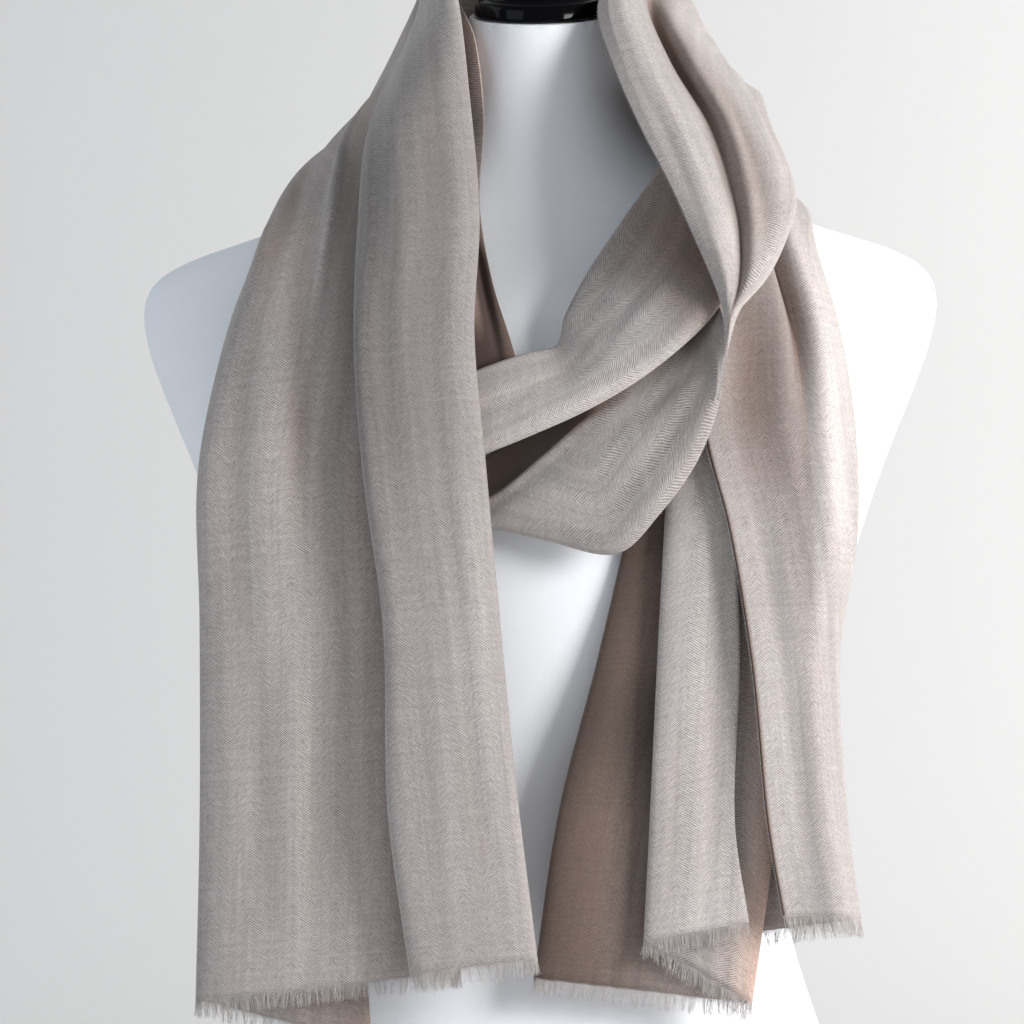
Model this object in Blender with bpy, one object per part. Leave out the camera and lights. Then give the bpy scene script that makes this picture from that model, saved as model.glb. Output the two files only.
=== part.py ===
"""A fringed pashmina stole, wound once round the neck of a limbless dress form.

Frame: metres, +Z up, origin at the centre of the form's flat base, the form faces -Y.
The cloth tables are in millimetres and are read on the front elevation, drawn in
perspective from EYE: across and height are where a point shows on the plane y = 0, and
depth is its real y. seen() carries such a point along its sight line to its real place.
"""
import math

import bmesh
import bpy
import numpy as np
from mathutils import Vector
from mathutils.bvhtree import BVHTree

MM = 0.001
EYE = (-14.0, -1500.0, 456.0)      # the point that the front elevation is drawn from
WALL = 1.2                         # thickness of the cloth wall
SEAM = 0.3                         # gap between two stretches of the cloth
CELL = 17.0                        # widest spacing of points across the cloth
STEPS = 2                          # rows of points for each section
ROLL = 3.0                         # radius of a rolled fold
ROLL_RUN = 3.0                     # how far a roll's flanks run straight, in radii
FLANK = 0.15                       # most of a panel's width that a roll's radius takes
DEEPEST = 24.0                     # cloth further than this from the form isn't laid on it
NECK_RIM = 692.0                   # cloth above this height isn't laid on the form

# ---------------------------------------------------------------- dress form
# One row for each level: height, half width, front and back depth.
FORM_LEVELS = [
    (0.0, 164.0, 98.0, 94.0),
    (5.0, 169.0, 102.0, 98.0),
    (45.0, 172.0, 105.0, 104.0),
    (95.0, 171.0, 104.0, 106.0),
    (150.0, 157.0, 99.0, 102.0),
    (200.0, 140.0, 92.0, 94.0),
    (242.0, 125.0, 86.0, 85.0),
    (285.0, 118.0, 83.0, 79.0),
    (330.0, 123.0, 88.0, 80.0),
    (380.0, 138.0, 98.0, 85.0),
    (430.0, 156.0, 106.0, 89.0),
    (470.0, 168.0, 106.0, 91.0),
    (505.0, 183.0, 99.0, 91.0),
    (530.0, 193.0, 91.0, 89.0),
    (548.0, 198.0, 84.0, 86.0),
    (562.0, 199.0, 77.0, 83.0),
    (574.0, 194.0, 72.0, 79.0),
    (583.0, 178.0, 69.0, 75.0),
    (590.0, 156.0, 66.0, 72.0),
    (597.0, 134.0, 64.0, 68.0),
    (607.0, 108.0, 60.0, 62.0),
    (618.0, 83.0, 56.0, 56.0),
    (630.0, 64.0, 52.0, 50.0),
    (643.0, 52.0, 48.0, 44.0),
    (658.0, 44.0, 45.0, 39.0),
    (678.0, 38.5, 43.0, 34.0),
    (703.0, 35.5, 40.0, 30.0),
]
FORM_SQUARENESS = 2.35             # exponent of the torso's sections
NECK_SQUARENESS = 2.0              # the neck is a plain oval
FORM_SIDES = 36
SHOULDER_LEAN = 0.018              # one shoulder sits a little higher
NECK_SLANT = 0.29                  # the top of the neck slopes down to the front
NECK_ROOT = 640.0
NECK_TOP = 703.0

CAP_RADIUS = 33.0
CAP_CENTRE_Y = -5.0
# One row for each ring of the cap: height above the neck, share of the radius.
CAP_RINGS = [(0.0, 0.94), (1.0, 1.0), (7.5, 1.0), (9.0, 0.97), (9.6, 0.90), (13.5, 0.88), (16.0, 0.80),
             (17.5, 0.55), (18.0, 0.2)]

# ---------------------------------------------------------------- cloth tables
# Each cloth table has a row for each section along the stretch and a column for each
# fold line. A cell is (across, depth, height) in millimetres on the front elevation.
# "free" is a selvedge, "soft" a crease that the cloth passes over, and "roll" a fold
# that it turns round; +1 brings the next layer in front of the last one, -1 behind it.

# The last number of a fold is the least distance that it keeps from the form.
OUTER_FOLDS = [("inner", "free", 0, 12), ("crown", "roll", 1, 16), ("face", "soft", 0, 20),
               ("pleat", "roll", -1, 16), ("tuck", "roll", -1, 10), ("side", "soft", 0, 6),
               ("swell", "soft", 0, 9), ("outer", "roll", -1, 5.6), ("back", "free", 0, 2.1)]
# section: share of the roll at crown, pleat, tuck and outer, then a cell for each fold line
LAPEL = {
    "pinch": ((0, 0, 0, 0), (91, -137.5, 551), (92, -139, 551), (93.5, -140.5, 551), (95, -141.2, 551),
              (96.5, -141.5, 551), (98, -141.3, 551), (99.5, -140.6, 551), (101, -139.2, 551), (102.5, -137.4, 552)),
    "gather": ((0, 0, 0, .2), (88, -134, 568), (90, -138, 568), (93.5, -142.5, 568), (96.5, -141, 569),
               (99.5, -138, 569), (103, -140, 570), (108, -138, 571), (112, -131, 571), (110, -125, 572)),
    "turn": ((0, 0, 0, 1), (76, -128, 596), (80, -134, 596), (87, -140, 596), (95, -134, 596),
             (100, -119, 596), (108, -130, 595), (117, -125, 597), (126, -112, 601), (115, -111, 598)),
    "lower": ((0, 0, 0, 1), (64.5, -112, 621), (69, -118, 621), (77, -124, 621), (87, -117, 621),
              (95, -100, 621), (105, -110, 622), (117, -101, 623), (128, -85, 620), (116, -94, 622)),
    "middle": ((0, 0, 0, 1), (50, -92, 649), (55, -98, 650), (64, -101, 651), (77, -94, 651),
               (86, -77, 650), (97, -84, 650), (108, -73, 650), (118, -52, 648), (105, -67, 650)),
    "upper": ((0, 0, 0, 1), (37, -67, 679), (42, -72, 681), (50, -72, 683), (60, -64, 683),
              (68, -48, 680), (80, -50, 681), (93, -34, 677), (112, -12, 660), (95, -25, 668)),
    "crest": ((0, 0, 0, 1), (29, -36, 708), (34, -39, 714), (41, -36, 718), (50, -27, 716),
              (54, -14, 710), (66, -12, 708), (80, 2, 693), (110, 22, 657), (91, 12, 671)),
}
NAPE_OUTER = {
    "right side": ((.4, 0, 0, 1), (36, -8, 728), (42, -10, 738), (50, -3, 740), (57, 6, 735),
                   (59, 14, 726), (70, 20, 716), (84, 30, 697), (106, 50, 650), (90, 38, 670)),
    "right back": ((1, 0, 0, 1), (44, 26, 738), (47, 29, 748), (53, 39, 749), (58, 48, 742),
                   (58, 51, 733), (66, 60, 720), (74, 68, 698), (84, 78, 640), (71, 64, 668)),
    "nape": ((1, 0, 0, 1), (2, 50, 740), (2, 54, 751), (1, 65, 752), (0, 74, 744),
             (0, 73, 734), (-1, 86, 718), (-2, 92, 694), (-3, 90, 634), (-3, 82, 662)),
    "left back": ((1, 0, 0, 1), (-46, 24, 735), (-50, 28, 745), (-56, 38, 744), (-61, 47, 735),
                  (-60, 48, 725), (-69, 57, 710), (-80, 66, 686), (-96, 74, 624), (-84, 65, 654)),
}
LEFT_TAIL = {
    "side": ((1, .1, .1, 1), (-44, -2, 718), (-47, 2, 730), (-56, 8, 724), (-65, 17, 706),
             (-62, 18, 694), (-76, 24, 680), (-96, 34, 655), (-126, 48, 612), (-107, 39, 629)),
    "crest": ((1, .5, .5, .4), (-48, -26, 694), (-42, -26, 714), (-56, -20, 706), (-79, -4, 674),
              (-64, -6, 660), (-92, -2, 648), (-114, 6, 625), (-133, 20, 602), (-114, 12, 615)),
    "throat": ((1, 1, 1, .4), (-52, -52, 650), (-35, -60, 661), (-60, -64, 660), (-91, -44, 640),
               (-66, -46, 634), (-106, -38, 618), (-126, -36, 604), (-141, -38, 589), (-114, -38, 599)),
    "collar": ((1, 1, 1, .8), (-54, -80, 603), (-30.5, -90, 606), (-60, -97, 606), (-91.5, -84, 600),
               (-64, -76, 598), (-110, -70, 592), (-133, -66, 583), (-149, -60, 573), (-118, -62, 580)),
    "chest": ((1, 1, 1, 1), (-54, -108, 543), (-33, -118, 545), (-60, -125, 545), (-93, -121, 542),
              (-66, -113, 542), (-116, -106, 540), (-138, -97, 540), (-158, -84, 540), (-122, -91, 542)),
    "bust": ((1, 1, 1, 1), (-50, -122, 482), (-27.5, -129, 482), (-58, -136, 480), (-89, -132, 480),
             (-64, -124, 480), (-114, -116, 480), (-140, -119, 480), (-170.5, -106, 480), (-120, -108, 480)),
    "waist": ((1, 1, 1, 1), (-44, -122, 400), (-20, -129, 400), (-46, -137, 400), (-78.5, -132, 400),
              (-54, -124, 400), (-106, -114, 400), (-136, -121, 400), (-170, -108, 400), (-104, -108, 400)),
    "hip": ((1, 1, 1, 1), (-36, -120, 310), (-11, -127, 310), (-40, -134, 308), (-76, -130, 306),
            (-50, -122, 306), (-100, -112, 304), (-132, -119, 302), (-170, -106, 300), (-92, -106, 300)),
    "hem": ((1, 1, 1, 1), (-36, -118, 237), (-1.5, -124, 233), (-32, -130, 229), (-65, -126, 225),
            (-40, -118, 226), (-98, -111, 220), (-134, -116, 216), (-172, -104, 212), (-84, -103, 190)),
}

RIGHT_FOLDS = [("selvedge", "free", 0, 18), ("panel", "soft", 0, 18), ("bend", "soft", 0, 14),
               ("side", "roll", -1, 5.0), ("rear", "soft", 0, 2.2), ("left", "roll", 1, 4.2),
               ("right", "roll", 1, 8.2), ("middle", "roll", 1, 12.2), ("inset", "free", 0, 14.2)]
# section: share of the roll at side, left, right and middle, then a cell for each fold line
RIGHT_TAIL = {
    "crest": ((1, .65, .65, .65), (60, -8, 664), (96, -4, 645), (118, 2, 624), (130, 8, 605),
              (108, 2, 615), (72, -2, 636), (108, -6, 622), (74, -8, 642), (104, -8, 630)),
    "shoulder": ((1, .65, .65, .65), (74, -60, 636), (100, -52, 630), (120, -40, 618), (133, -24, 600),
                 (108, -34, 608), (72, -46, 620), (108, -43, 611), (74, -53, 622), (104, -50, 614)),
    "collar": ((1, .65, .65, .65), (79, -93, 600), (104, -89, 599), (122, -73, 599), (136, -52, 592),
               (108, -64, 598), (66, -72, 600), (106, -72, 599), (68, -81, 600), (100, -82, 599)),
    "chest": ((1, .65, .65, .65), (81, -113, 550), (114, -110, 550), (135, -104, 550), (149, -82, 550),
              (104, -89, 550), (60, -93, 550), (110, -97, 550), (66, -102, 550), (100, -106, 550)),
    "bust": ((1, .65, .65, .65), (82, -124, 498), (116, -121, 500), (138, -122, 500), (157.5, -98, 500),
             (104, -99, 500), (52, -101, 500), (114, -106, 500), (65, -111, 500), (98, -116, 500)),
    "rib": ((1, .65, .65, .65), (94, -130, 450), (118, -124, 450), (141, -127, 450), (159, -104, 450),
            (100, -103, 450), (44, -106, 450), (117, -111, 450), (62.5, -116, 450), (98, -121, 450)),
    "waist": ((1, .65, .65, .65), (105, -131, 385), (122, -124, 385), (138, -128, 385), (150, -106, 385),
              (96, -103, 385), (29.5, -107, 385), (118, -111, 385), (59, -117, 385), (100, -121, 385)),
    "hip": ((1, .65, .65, .65), (113.5, -127, 301), (128, -122, 301), (143, -125, 301), (154, -105, 301),
            (84, -102, 301), (8.5, -105, 301), (118, -109, 301), (55, -115, 301), (97.5, -119, 301)),
    "hem": ((1, .65, .65, .65), (121.5, -124, 254), (133, -119, 254), (149, -122, 254), (160.5, -104, 252),
            (80, -100, 243), (-3, -103, 223), (106, -107, 210), (52, -113, 242), (104.5, -117, 251)),
}

INNER_FOLDS = [("edge", "free", 0, 2.4), ("crease", "soft", 0, 2.4), ("rise", "soft", 0, 2.4),
               ("foot", "free", 0, 2.4)]
NAPE_INNER = {
    "right side": ((), (60, -7.5, 664), (96, -3.5, 645), (120, 2.8, 622), (133, 9, 604)),
    "right rear": ((), (56, 24, 672), (80, 29, 650), (102, 30, 628), (124, 34, 600)),
    "right back": ((), (44, 36, 694), (52, 45, 680), (62, 50, 654), (74, 52, 622)),
    "nape": ((), (2, 42, 708), (1, 52, 700), (0, 62, 676), (0, 66, 646)),
    "left back": ((), (-38, 28, 708), (-46, 40, 696), (-56, 50, 668), (-70, 58, 636)),
}
LEFT_INNER = {
    "side": ((), (-40, -4, 710), (-45, 0, 694), (-55, 6, 664), (-82, 8, 628)),
    "throat": ((), (-33, -32, 694), (-38, -28, 684), (-50, -16, 658), (-74, -10, 630)),
    "neck": ((), (-28, -52, 655), (-36, -50, 648), (-51, -42, 636), (-72, -34, 616)),
    "collar": ((), (-30, -72, 609), (-38, -72, 607), (-54, -70, 600), (-72, -62, 594)),
    "breast": ((), (-24, -88, 572), (-31, -87, 572), (-48, -92, 568), (-70, -84, 564)),
    "loop": ((), (-13, -97, 536), (-22, -98, 535), (-42, -101, 532), (-66, -97, 528)),
    "foot": ((), (-9, -100, 520), (-19, -101, 518), (-40, -103, 516), (-62, -100, 514)),
}

UPPER_FOLDS = [("top", "free", 0, 4), ("high", "soft", 0, 8), ("swell", "soft", 0, 12), ("lip", "roll", -1, 10),
               ("hollow", "free", 0, 7)]
LOOP_UPPER = {
    "root": ((1,), (-64, -108, 510), (-64, -112, 500), (-64, -114, 488), (-63, -114, 474), (-60, -107, 484)),
    "left": ((1,), (-31, -107, 527), (-29, -114, 516), (-27, -120, 501), (-26, -119, 486), (-25, -110, 496)),
    "knee": ((1,), (-8, -106, 535), (-5, -116, 524), (-3, -125, 510), (-2, -125, 496), (0, -114, 506)),
    "dip": ((1,), (8, -104, 539), (12, -116, 530), (16, -127, 519), (20, -129, 506), (20, -117, 516)),
    "rise": ((1,), (12.5, -100, 554), (25, -115, 545), (36, -128, 534), (45, -133, 520), (42, -121, 529)),
    "cross": ((1,), (24, -94, 576), (40, -111, 564), (55, -127, 550), (69, -135, 538), (63, -124, 546)),
    "under": ((1,), (42, -88, 603), (58, -105, 589), (74, -122, 571), (87, -131, 556), (80, -121, 563)),
    "cover": ((1,), (60, -80, 630), (74, -94, 614), (90, -109, 597), (102, -115, 584), (93, -106, 588)),
    "shoulder": ((1,), (60, -58, 658), (74, -72, 646), (91, -80, 630), (106, -82, 614), (95, -77, 620)),
}

LOWER_FOLDS = [("top", "free", 0, 1.4), ("brow", "soft", 0, 3), ("middle", "soft", 0, 6), ("low", "soft", 0, 6),
               ("bottom", "roll", -1, 5), ("turned", "free", 0, 1.8)]
LOOP_LOWER = {
    "root": ((1,), (-62, -104, 468), (-62, -108, 456), (-60, -113, 448), (-59, -113, 440), (-58, -109, 431),
             (-56, -105, 442)),
    "left": ((1,), (-26, -104, 484), (-24, -113, 461), (-25, -118, 455), (-25, -118, 452), (-25.5, -115, 447),
             (-24, -107, 458)),
    "knee": ((1,), (2, -107, 504), (2, -117, 484), (2, -124, 468), (2, -124, 454), (2, -119, 442),
             (2, -110, 456)),
    "dip": ((1,), (24, -110, 520), (21, -120, 504), (27, -130, 480), (34, -130, 456), (39, -124, 435.5),
            (32, -115, 450)),
    "rise": ((1,), (46, -115, 534), (44, -124, 516), (49, -134, 494), (54, -136, 472), (60, -132, 455),
             (52, -125, 463)),
    "cross": ((1,), (60, -117, 540), (66, -125, 529), (70, -136, 515), (75, -139, 498), (79.5, -136, 483),
              (72, -130, 491)),
    "pinch": ((.8,), (76, -121, 549), (81, -128, 541), (85, -136, 533), (88, -140, 524), (90, -139, 514),
              (85, -133, 520)),
    "tip": ((.4,), (83, -121, 553), (85.5, -128, 549), (88, -134, 544), (90, -137.5, 538), (91.5, -138, 531),
            (88, -133, 534)),
}

FRINGE_GAP = 0.6                   # from the edge of the cloth
FRINGE_LENGTH = 8.0
FRINGE_STRIP = 1.5                 # height of the strip that the strands hang from
FRINGE_WALL = 1.0
FRINGE_STRANDS = 90                # on each hanging end
FRINGE_ROOT = (0.3, 0.7)           # where a strand's root starts and ends, in shares of its pitch
FRINGE_UNEVEN = 0.25


def seen(cell):
    """The real place, in metres, of a point read on the front elevation."""
    across, depth, height = cell
    reach = (depth - EYE[1]) / -EYE[1]
    return Vector((EYE[0] + (across - EYE[0]) * reach, depth, EYE[2] + (height - EYE[2]) * reach)) * MM


def material(name, colour, roughness):
    """A plain Principled material in the piece's own colour."""
    shade = bpy.data.materials.new(name)
    shade.use_nodes = True
    shade.diffuse_color = (*colour, 1.0)
    surface = shade.node_tree.nodes["Principled BSDF"]
    surface.inputs["Base Color"].default_value = (*colour, 1.0)
    surface.inputs["Roughness"].default_value = roughness
    surface.inputs["Metallic"].default_value = 0.0
    return shade


def add_piece(name, points, faces, shade):
    """One named object, shaded smooth, with its faces turned out."""
    mesh = bpy.data.meshes.new(name)
    mesh.from_pydata(points, [], faces)
    work = bmesh.new()
    work.from_mesh(mesh)
    bmesh.ops.recalc_face_normals(work, faces=work.faces)
    work.to_mesh(mesh)
    work.free()
    mesh.shade_smooth()
    mesh.set_sharp_from_angle(angle=math.radians(50))
    mesh.materials.append(shade)
    piece = bpy.data.objects.new(name, mesh)
    bpy.context.collection.objects.link(piece)
    return piece


# ---------------------------------------------------------------- the form
def ease(value):
    """0 to 1 with level ends."""
    t = min(max(value, 0.0), 1.0)
    return t * t * (3.0 - 2.0 * t)


def neck_plane(x, y, height):
    """The height of a point of the form once its shoulders lean and its neck slants."""
    lean = SHOULDER_LEAN * ease((height - 300.0) / 250.0) * x
    slant = NECK_SLANT * ease((height - NECK_ROOT) / (NECK_TOP - NECK_ROOT)) * (y - CAP_CENTRE_Y)
    return height + lean + slant


def form_ring(height, half_width, front, back):
    """One oval section of the form, rounder at the neck than at the torso."""
    squareness = FORM_SQUARENESS + (NECK_SQUARENESS - FORM_SQUARENESS) * ease((height - 590.0) / 50.0)
    ring = []
    for side in range(FORM_SIDES):
        angle = 2.0 * math.pi * side / FORM_SIDES
        c, s = math.cos(angle), math.sin(angle)
        x = half_width * math.copysign(abs(c) ** (2.0 / squareness), c)
        y = (back if s > 0 else front) * math.copysign(abs(s) ** (2.0 / squareness), s)
        ring.append(Vector((x, y, neck_plane(x, y, height))) * MM)
    return ring


def loft(rings):
    """Faces of a closed solid through rings of the same count, flat at both ends."""
    sides = len(rings[0])
    faces = []
    for row in range(len(rings) - 1):
        for side in range(sides):
            near, far = row * sides + side, row * sides + (side + 1) % sides
            faces.append((near, far, far + sides, near + sides))
    faces.append(tuple(reversed(range(sides))))
    faces.append(tuple(range((len(rings) - 1) * sides, len(rings) * sides)))
    return [point for ring in rings for point in ring], faces


def build_form(shade):
    """The jersey-covered torso: flat base, hips, waist, chest, shoulders and neck."""
    return add_piece("form_torso", *loft([form_ring(*level) for level in FORM_LEVELS]), shade)


def build_cap(shade):
    """The gloss cap that lies on the slanted top of the neck."""
    rings = []
    for lift, share in CAP_RINGS:
        ring = []
        for side in range(FORM_SIDES):
            angle = 2.0 * math.pi * side / FORM_SIDES
            x = CAP_RADIUS * share * math.cos(angle)
            y = CAP_CENTRE_Y + CAP_RADIUS * share * math.sin(angle)
            ring.append(Vector((x, y, neck_plane(x, y, NECK_TOP) + lift + SEAM)) * MM)
        rings.append(ring)
    return add_piece("neck_cap", *loft(rings), shade)


# ---------------------------------------------------------------- the cloth
def section_controls(folds, across, cells, rolls, travel):
    """The control points of one section, each with its rest distance; a roll has five."""
    points = [seen(cell) for cell in cells]
    place = {fold[0]: point for fold, point in zip(folds, points)}
    outward = travel.cross(place[across[0]] - place[across[1]]).normalized()
    controls = []
    roll = iter(rolls)
    for index, (name, kind, turn, rest) in enumerate(folds):
        point = points[index]
        if kind != "roll":
            controls.append((*point, rest * MM))
            continue
        radius = ROLL * next(roll) * MM
        before, after = points[index - 1] - point, points[index + 1] - point
        before = before.normalized() * min(ROLL * MM, before.length * FLANK)
        after = after.normalized() * min(ROLL * MM, after.length * FLANK)
        lift = outward * radius * turn
        behind, ahead = rest * MM - radius * turn, rest * MM + radius * turn
        controls += [(*(point + before * ROLL_RUN - lift), behind), (*(point + before - lift), behind),
                     (*(point - (before + after) * 0.25), rest * MM),
                     (*(point + after + lift), ahead), (*(point + after * ROLL_RUN + lift), ahead)]
    return controls


def along(columns, cuts):
    """Points along each fold line: a smooth curve through its sections, parted at the cuts."""
    lines = np.array(columns)                      # section, control, xyz and rest
    steps_apart = np.linalg.norm(np.diff(lines[:, :, :3], axis=0), axis=2).mean(axis=1)
    knots = np.concatenate(([0.0], np.cumsum(steps_apart)))
    tangents = np.empty_like(lines)
    slopes = np.diff(lines, axis=0) / np.diff(knots)[:, None, None]
    tangents[0], tangents[-1] = slopes[0], slopes[-1]
    for i in range(1, len(knots) - 1):
        before, after = knots[i] - knots[i - 1], knots[i + 1] - knots[i]
        tangents[i] = (slopes[i - 1] * after + slopes[i] * before) / (before + after)
    places = [knots[0]]
    for index in range(1, len(knots)):
        places.extend(np.linspace(knots[index - 1], knots[index], STEPS + 1)[1:])
        if index in cuts:
            places[-1] -= SEAM * MM / 2
            places.append(knots[index] + SEAM * MM / 2)
    rows = []
    for place in places:
        span = min(max(int(np.searchsorted(knots, place, side="right")) - 1, 0), len(knots) - 2)
        gap = knots[span + 1] - knots[span]
        t = (place - knots[span]) / gap
        rows.append((2 * t**3 - 3 * t**2 + 1) * lines[span] + (3 * t**2 - 2 * t**3) * lines[span + 1]
                    + (t**3 - 2 * t**2 + t) * gap * tangents[span] + (t**3 - t**2) * gap * tangents[span + 1])
    return np.array(rows)


def across_curve(controls, counts):
    """A section as a smooth curve drawn by its control points, ending on the first and last."""
    padded = np.concatenate(([2 * controls[0] - controls[1]], controls, [2 * controls[-1] - controls[-2]]))
    samples = []
    for span, count in enumerate(counts):
        p0, p1, p2, p3 = padded[span:span + 4]
        for step in range(count):
            t = step / count
            samples.append(((1 - t)**3 * p0 + (3 * t**3 - 6 * t**2 + 4) * p1
                            + (-3 * t**3 + 3 * t**2 + 3 * t + 1) * p2 + t**3 * p3) / 6)
    samples.append(controls[-1])
    return np.array(samples)


def laid_on(form, grid):
    """The grid with each point that lies nearer to the form than it rests moved out to there."""
    laid = grid[:, :, :3].copy()
    for place in np.ndindex(grid.shape[:2]):
        point, rest = Vector(grid[place][:3]), grid[place][3]
        nearest, normal, _, _ = form.find_nearest(point, DEEPEST * MM)
        if nearest and (point - nearest).dot(normal) < rest and nearest.z < NECK_RIM * MM:
            laid[place] = nearest + normal * rest
    return laid


def cloth_grid(form, folds, across, table, seams=()):
    """The middle surface of the cloth through a table's sections: points and normals.

    across names two folds: where the cloth travels along X, the first lies above the
    second. The grid comes in one piece for each stretch between seams, with a gap there.
    """
    names = list(table)
    places = [[seen(cell) for cell in table[name][1:]] for name in names]
    middles = [sum(row, Vector()) / len(row) for row in places]
    columns = []
    for i, name in enumerate(names):
        travel = (middles[min(i + 1, len(names) - 1)] - middles[max(i - 1, 0)]).normalized()
        columns.append(section_controls(folds, across, table[name][1:], table[name][0], travel))
    cuts = [names.index(seam) for seam in seams]
    lines = along(columns, cuts)
    spans = np.linalg.norm(np.diff(lines[:, :, :3], axis=1), axis=2).max(axis=0)
    counts = [max(1, round(span / (CELL * MM))) for span in spans]
    free = np.array([across_curve(row, counts) for row in lines])
    moves = laid_on(form, free) - free[:, :, :3]
    cuts = [cut * STEPS + 1 + place for place, cut in enumerate(cuts)]
    for cut in cuts:
        moves[cut - 1] = moves[cut] = (moves[cut - 1] + moves[cut]) / 2
    grid = free[:, :, :3] + moves
    normals = grid_normals(grid)
    for cut in cuts:
        middle = (grid[cut - 1] + grid[cut]) / 2
        step = unit(grid[cut + 1] - grid[cut - 2]) * (SEAM * MM / 2)
        grid[cut - 1], grid[cut] = middle - step, middle + step
        normals[cut - 1] = normals[cut] = unit(normals[cut - 1] + normals[cut])
    return list(zip(np.split(grid, cuts), np.split(normals, cuts)))


def grid_normals(grid):
    """A unit normal at each point of a grid."""
    return unit(np.cross(np.gradient(grid, axis=1), np.gradient(grid, axis=0)))


def unit(vectors):
    """The vectors at length one."""
    return vectors / np.linalg.norm(vectors, axis=-1, keepdims=True)


def build_cloth(name, stretch, shade):
    """A closed wall, half its thickness to each side of the grid."""
    grid, normals = stretch
    shift = normals * (WALL * MM / 2)
    rows, columns = grid.shape[:2]
    points = [Vector(p) for p in np.concatenate((grid + shift, grid - shift)).reshape(-1, 3)]
    under = rows * columns
    faces = []
    for row in range(rows - 1):
        for column in range(columns - 1):
            a = row * columns + column
            b = a + columns
            for three in ((a, a + 1, b + 1), (a, b + 1, b)):     # both skins split the same way
                faces.append(three)
                faces.append(tuple(under + corner for corner in reversed(three)))
    rim = ([(0, c) for c in range(columns)] + [(r, columns - 1) for r in range(1, rows)]
           + [(rows - 1, c) for c in range(columns - 2, -1, -1)] + [(r, 0) for r in range(rows - 2, 0, -1)])
    for (r0, c0), (r1, c1) in zip(rim, rim[1:] + rim[:1]):
        a, b = sorted((r0 * columns + c0, r1 * columns + c1))
        faces += [(a, b, under + b), (a, under + b, under + a)]
    return add_piece(name, points, faces, shade)


def read_along(line, reach, places):
    """A line of points, read at the places along its reach."""
    return np.stack([np.interp(places, reach, line[:, axis]) for axis in range(3)], axis=1)


def build_fringe(name, stretch, shade):
    """A narrow strip along the hem with a row of pointed four-sided strands under it."""
    grid, normals = stretch
    reach = np.concatenate(([0.0], np.cumsum(np.linalg.norm(np.diff(grid[-1], axis=0), axis=1))))
    pitch = reach[-1] / FRINGE_STRANDS
    roots = [(strand + side) * pitch for strand in range(FRINGE_STRANDS) for side in FRINGE_ROOT]
    roots = np.array([0.0] + roots + [reach[-1]])
    spots = read_along(grid[-1], reach, roots)
    downs = unit(read_along(grid[-1] - grid[-2], reach, roots))
    half = unit(read_along(normals[-1], reach, roots)) * (FRINGE_WALL * MM / 2)
    top = spots + downs * (FRINGE_GAP * MM)
    foot = spots + downs * ((FRINGE_GAP + FRINGE_STRIP) * MM)
    points = [Vector(p) for ring in zip(top + half, top - half, foot - half, foot + half) for p in ring]
    last = 4 * (len(roots) - 1)
    faces = [(0, 1, 2, 3), (last + 3, last + 2, last + 1, last)]
    for place in range(len(roots) - 1):
        a, b = 4 * place, 4 * place + 4
        faces += [(a + 1, a, b, b + 1), (a + 2, a + 1, b + 1, b + 2), (a, a + 3, b + 3, b)]
        if place % 2 == 0:
            faces.append((a + 3, a + 2, b + 2, b + 3))
            continue
        length = FRINGE_LENGTH * (1.0 + FRINGE_UNEVEN * (math.sin(place * 1.7) + math.sin(place * 0.61)) / 2)
        sway = (foot[place + 1] - foot[place]) * 0.4 * math.sin(place * 2.3)
        tip = (foot[place] + foot[place + 1]) / 2 + downs[place] * length * MM + sway
        corners = [a + 3, a + 2, b + 2, b + 3]
        faces += [(near, far, len(points)) for near, far in zip(corners, corners[1:] + corners[:1])]
        points.append(Vector(tip))
    return add_piece(name, points, faces, shade)


def main():
    for old in list(bpy.data.objects):
        bpy.data.objects.remove(old)
    cloth = material("pashmina", (0.42, 0.36, 0.32), 0.85)
    fringe = material("fringe", (0.55, 0.49, 0.45), 0.9)
    jersey = material("form_cover", (0.86, 0.87, 0.88), 0.8)
    gloss = material("neck_cap", (0.01, 0.01, 0.01), 0.15)

    form = BVHTree.FromObject(build_form(jersey), bpy.context.evaluated_depsgraph_get())
    build_cap(gloss)

    right_tail, = cloth_grid(form, RIGHT_FOLDS, ("side", "left"), RIGHT_TAIL)
    build_cloth("right_tail", right_tail, cloth)
    build_fringe("right_tail_fringe", right_tail, fringe)

    inner = {**NAPE_INNER, **LEFT_INNER}
    nape_inner, left_inner = cloth_grid(form, INNER_FOLDS, ("edge", "foot"), inner, seams=("side",))
    build_cloth("nape_wrap_inner", nape_inner, cloth)
    build_cloth("left_inner_wrap", left_inner, cloth)

    loop_upper, = cloth_grid(form, UPPER_FOLDS, ("top", "lip"), LOOP_UPPER)
    loop_lower, = cloth_grid(form, LOWER_FOLDS, ("top", "bottom"), LOOP_LOWER)
    build_cloth("chest_loop_upper", loop_upper, cloth)
    build_cloth("chest_loop_lower", loop_lower, cloth)

    outer = {**LAPEL, **NAPE_OUTER, **{"tail " + name: row for name, row in LEFT_TAIL.items()}}
    lapel, nape_outer, left_tail = cloth_grid(form, OUTER_FOLDS, ("crown", "outer"), outer,
                                              seams=("crest", "tail side"))
    build_cloth("shoulder_lapel", lapel, cloth)
    build_cloth("nape_wrap_outer", nape_outer, cloth)
    build_cloth("left_tail", left_tail, cloth)
    build_fringe("left_tail_fringe", left_tail, fringe)


main()
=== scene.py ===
"""A fine herringbone pashmina shawl, wound once round the neck of a white dress form.

The cloth tables are in millimetres and are read on the front elevation, drawn in
perspective from EYE: across and height are where a point shows on the plane y = 0, and
depth is its real y. seen() carries such a point along its sight line to its real place.
"""
import math

import bmesh
import bpy
import numpy as np
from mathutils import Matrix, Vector, noise
from mathutils.bvhtree import BVHTree


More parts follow.
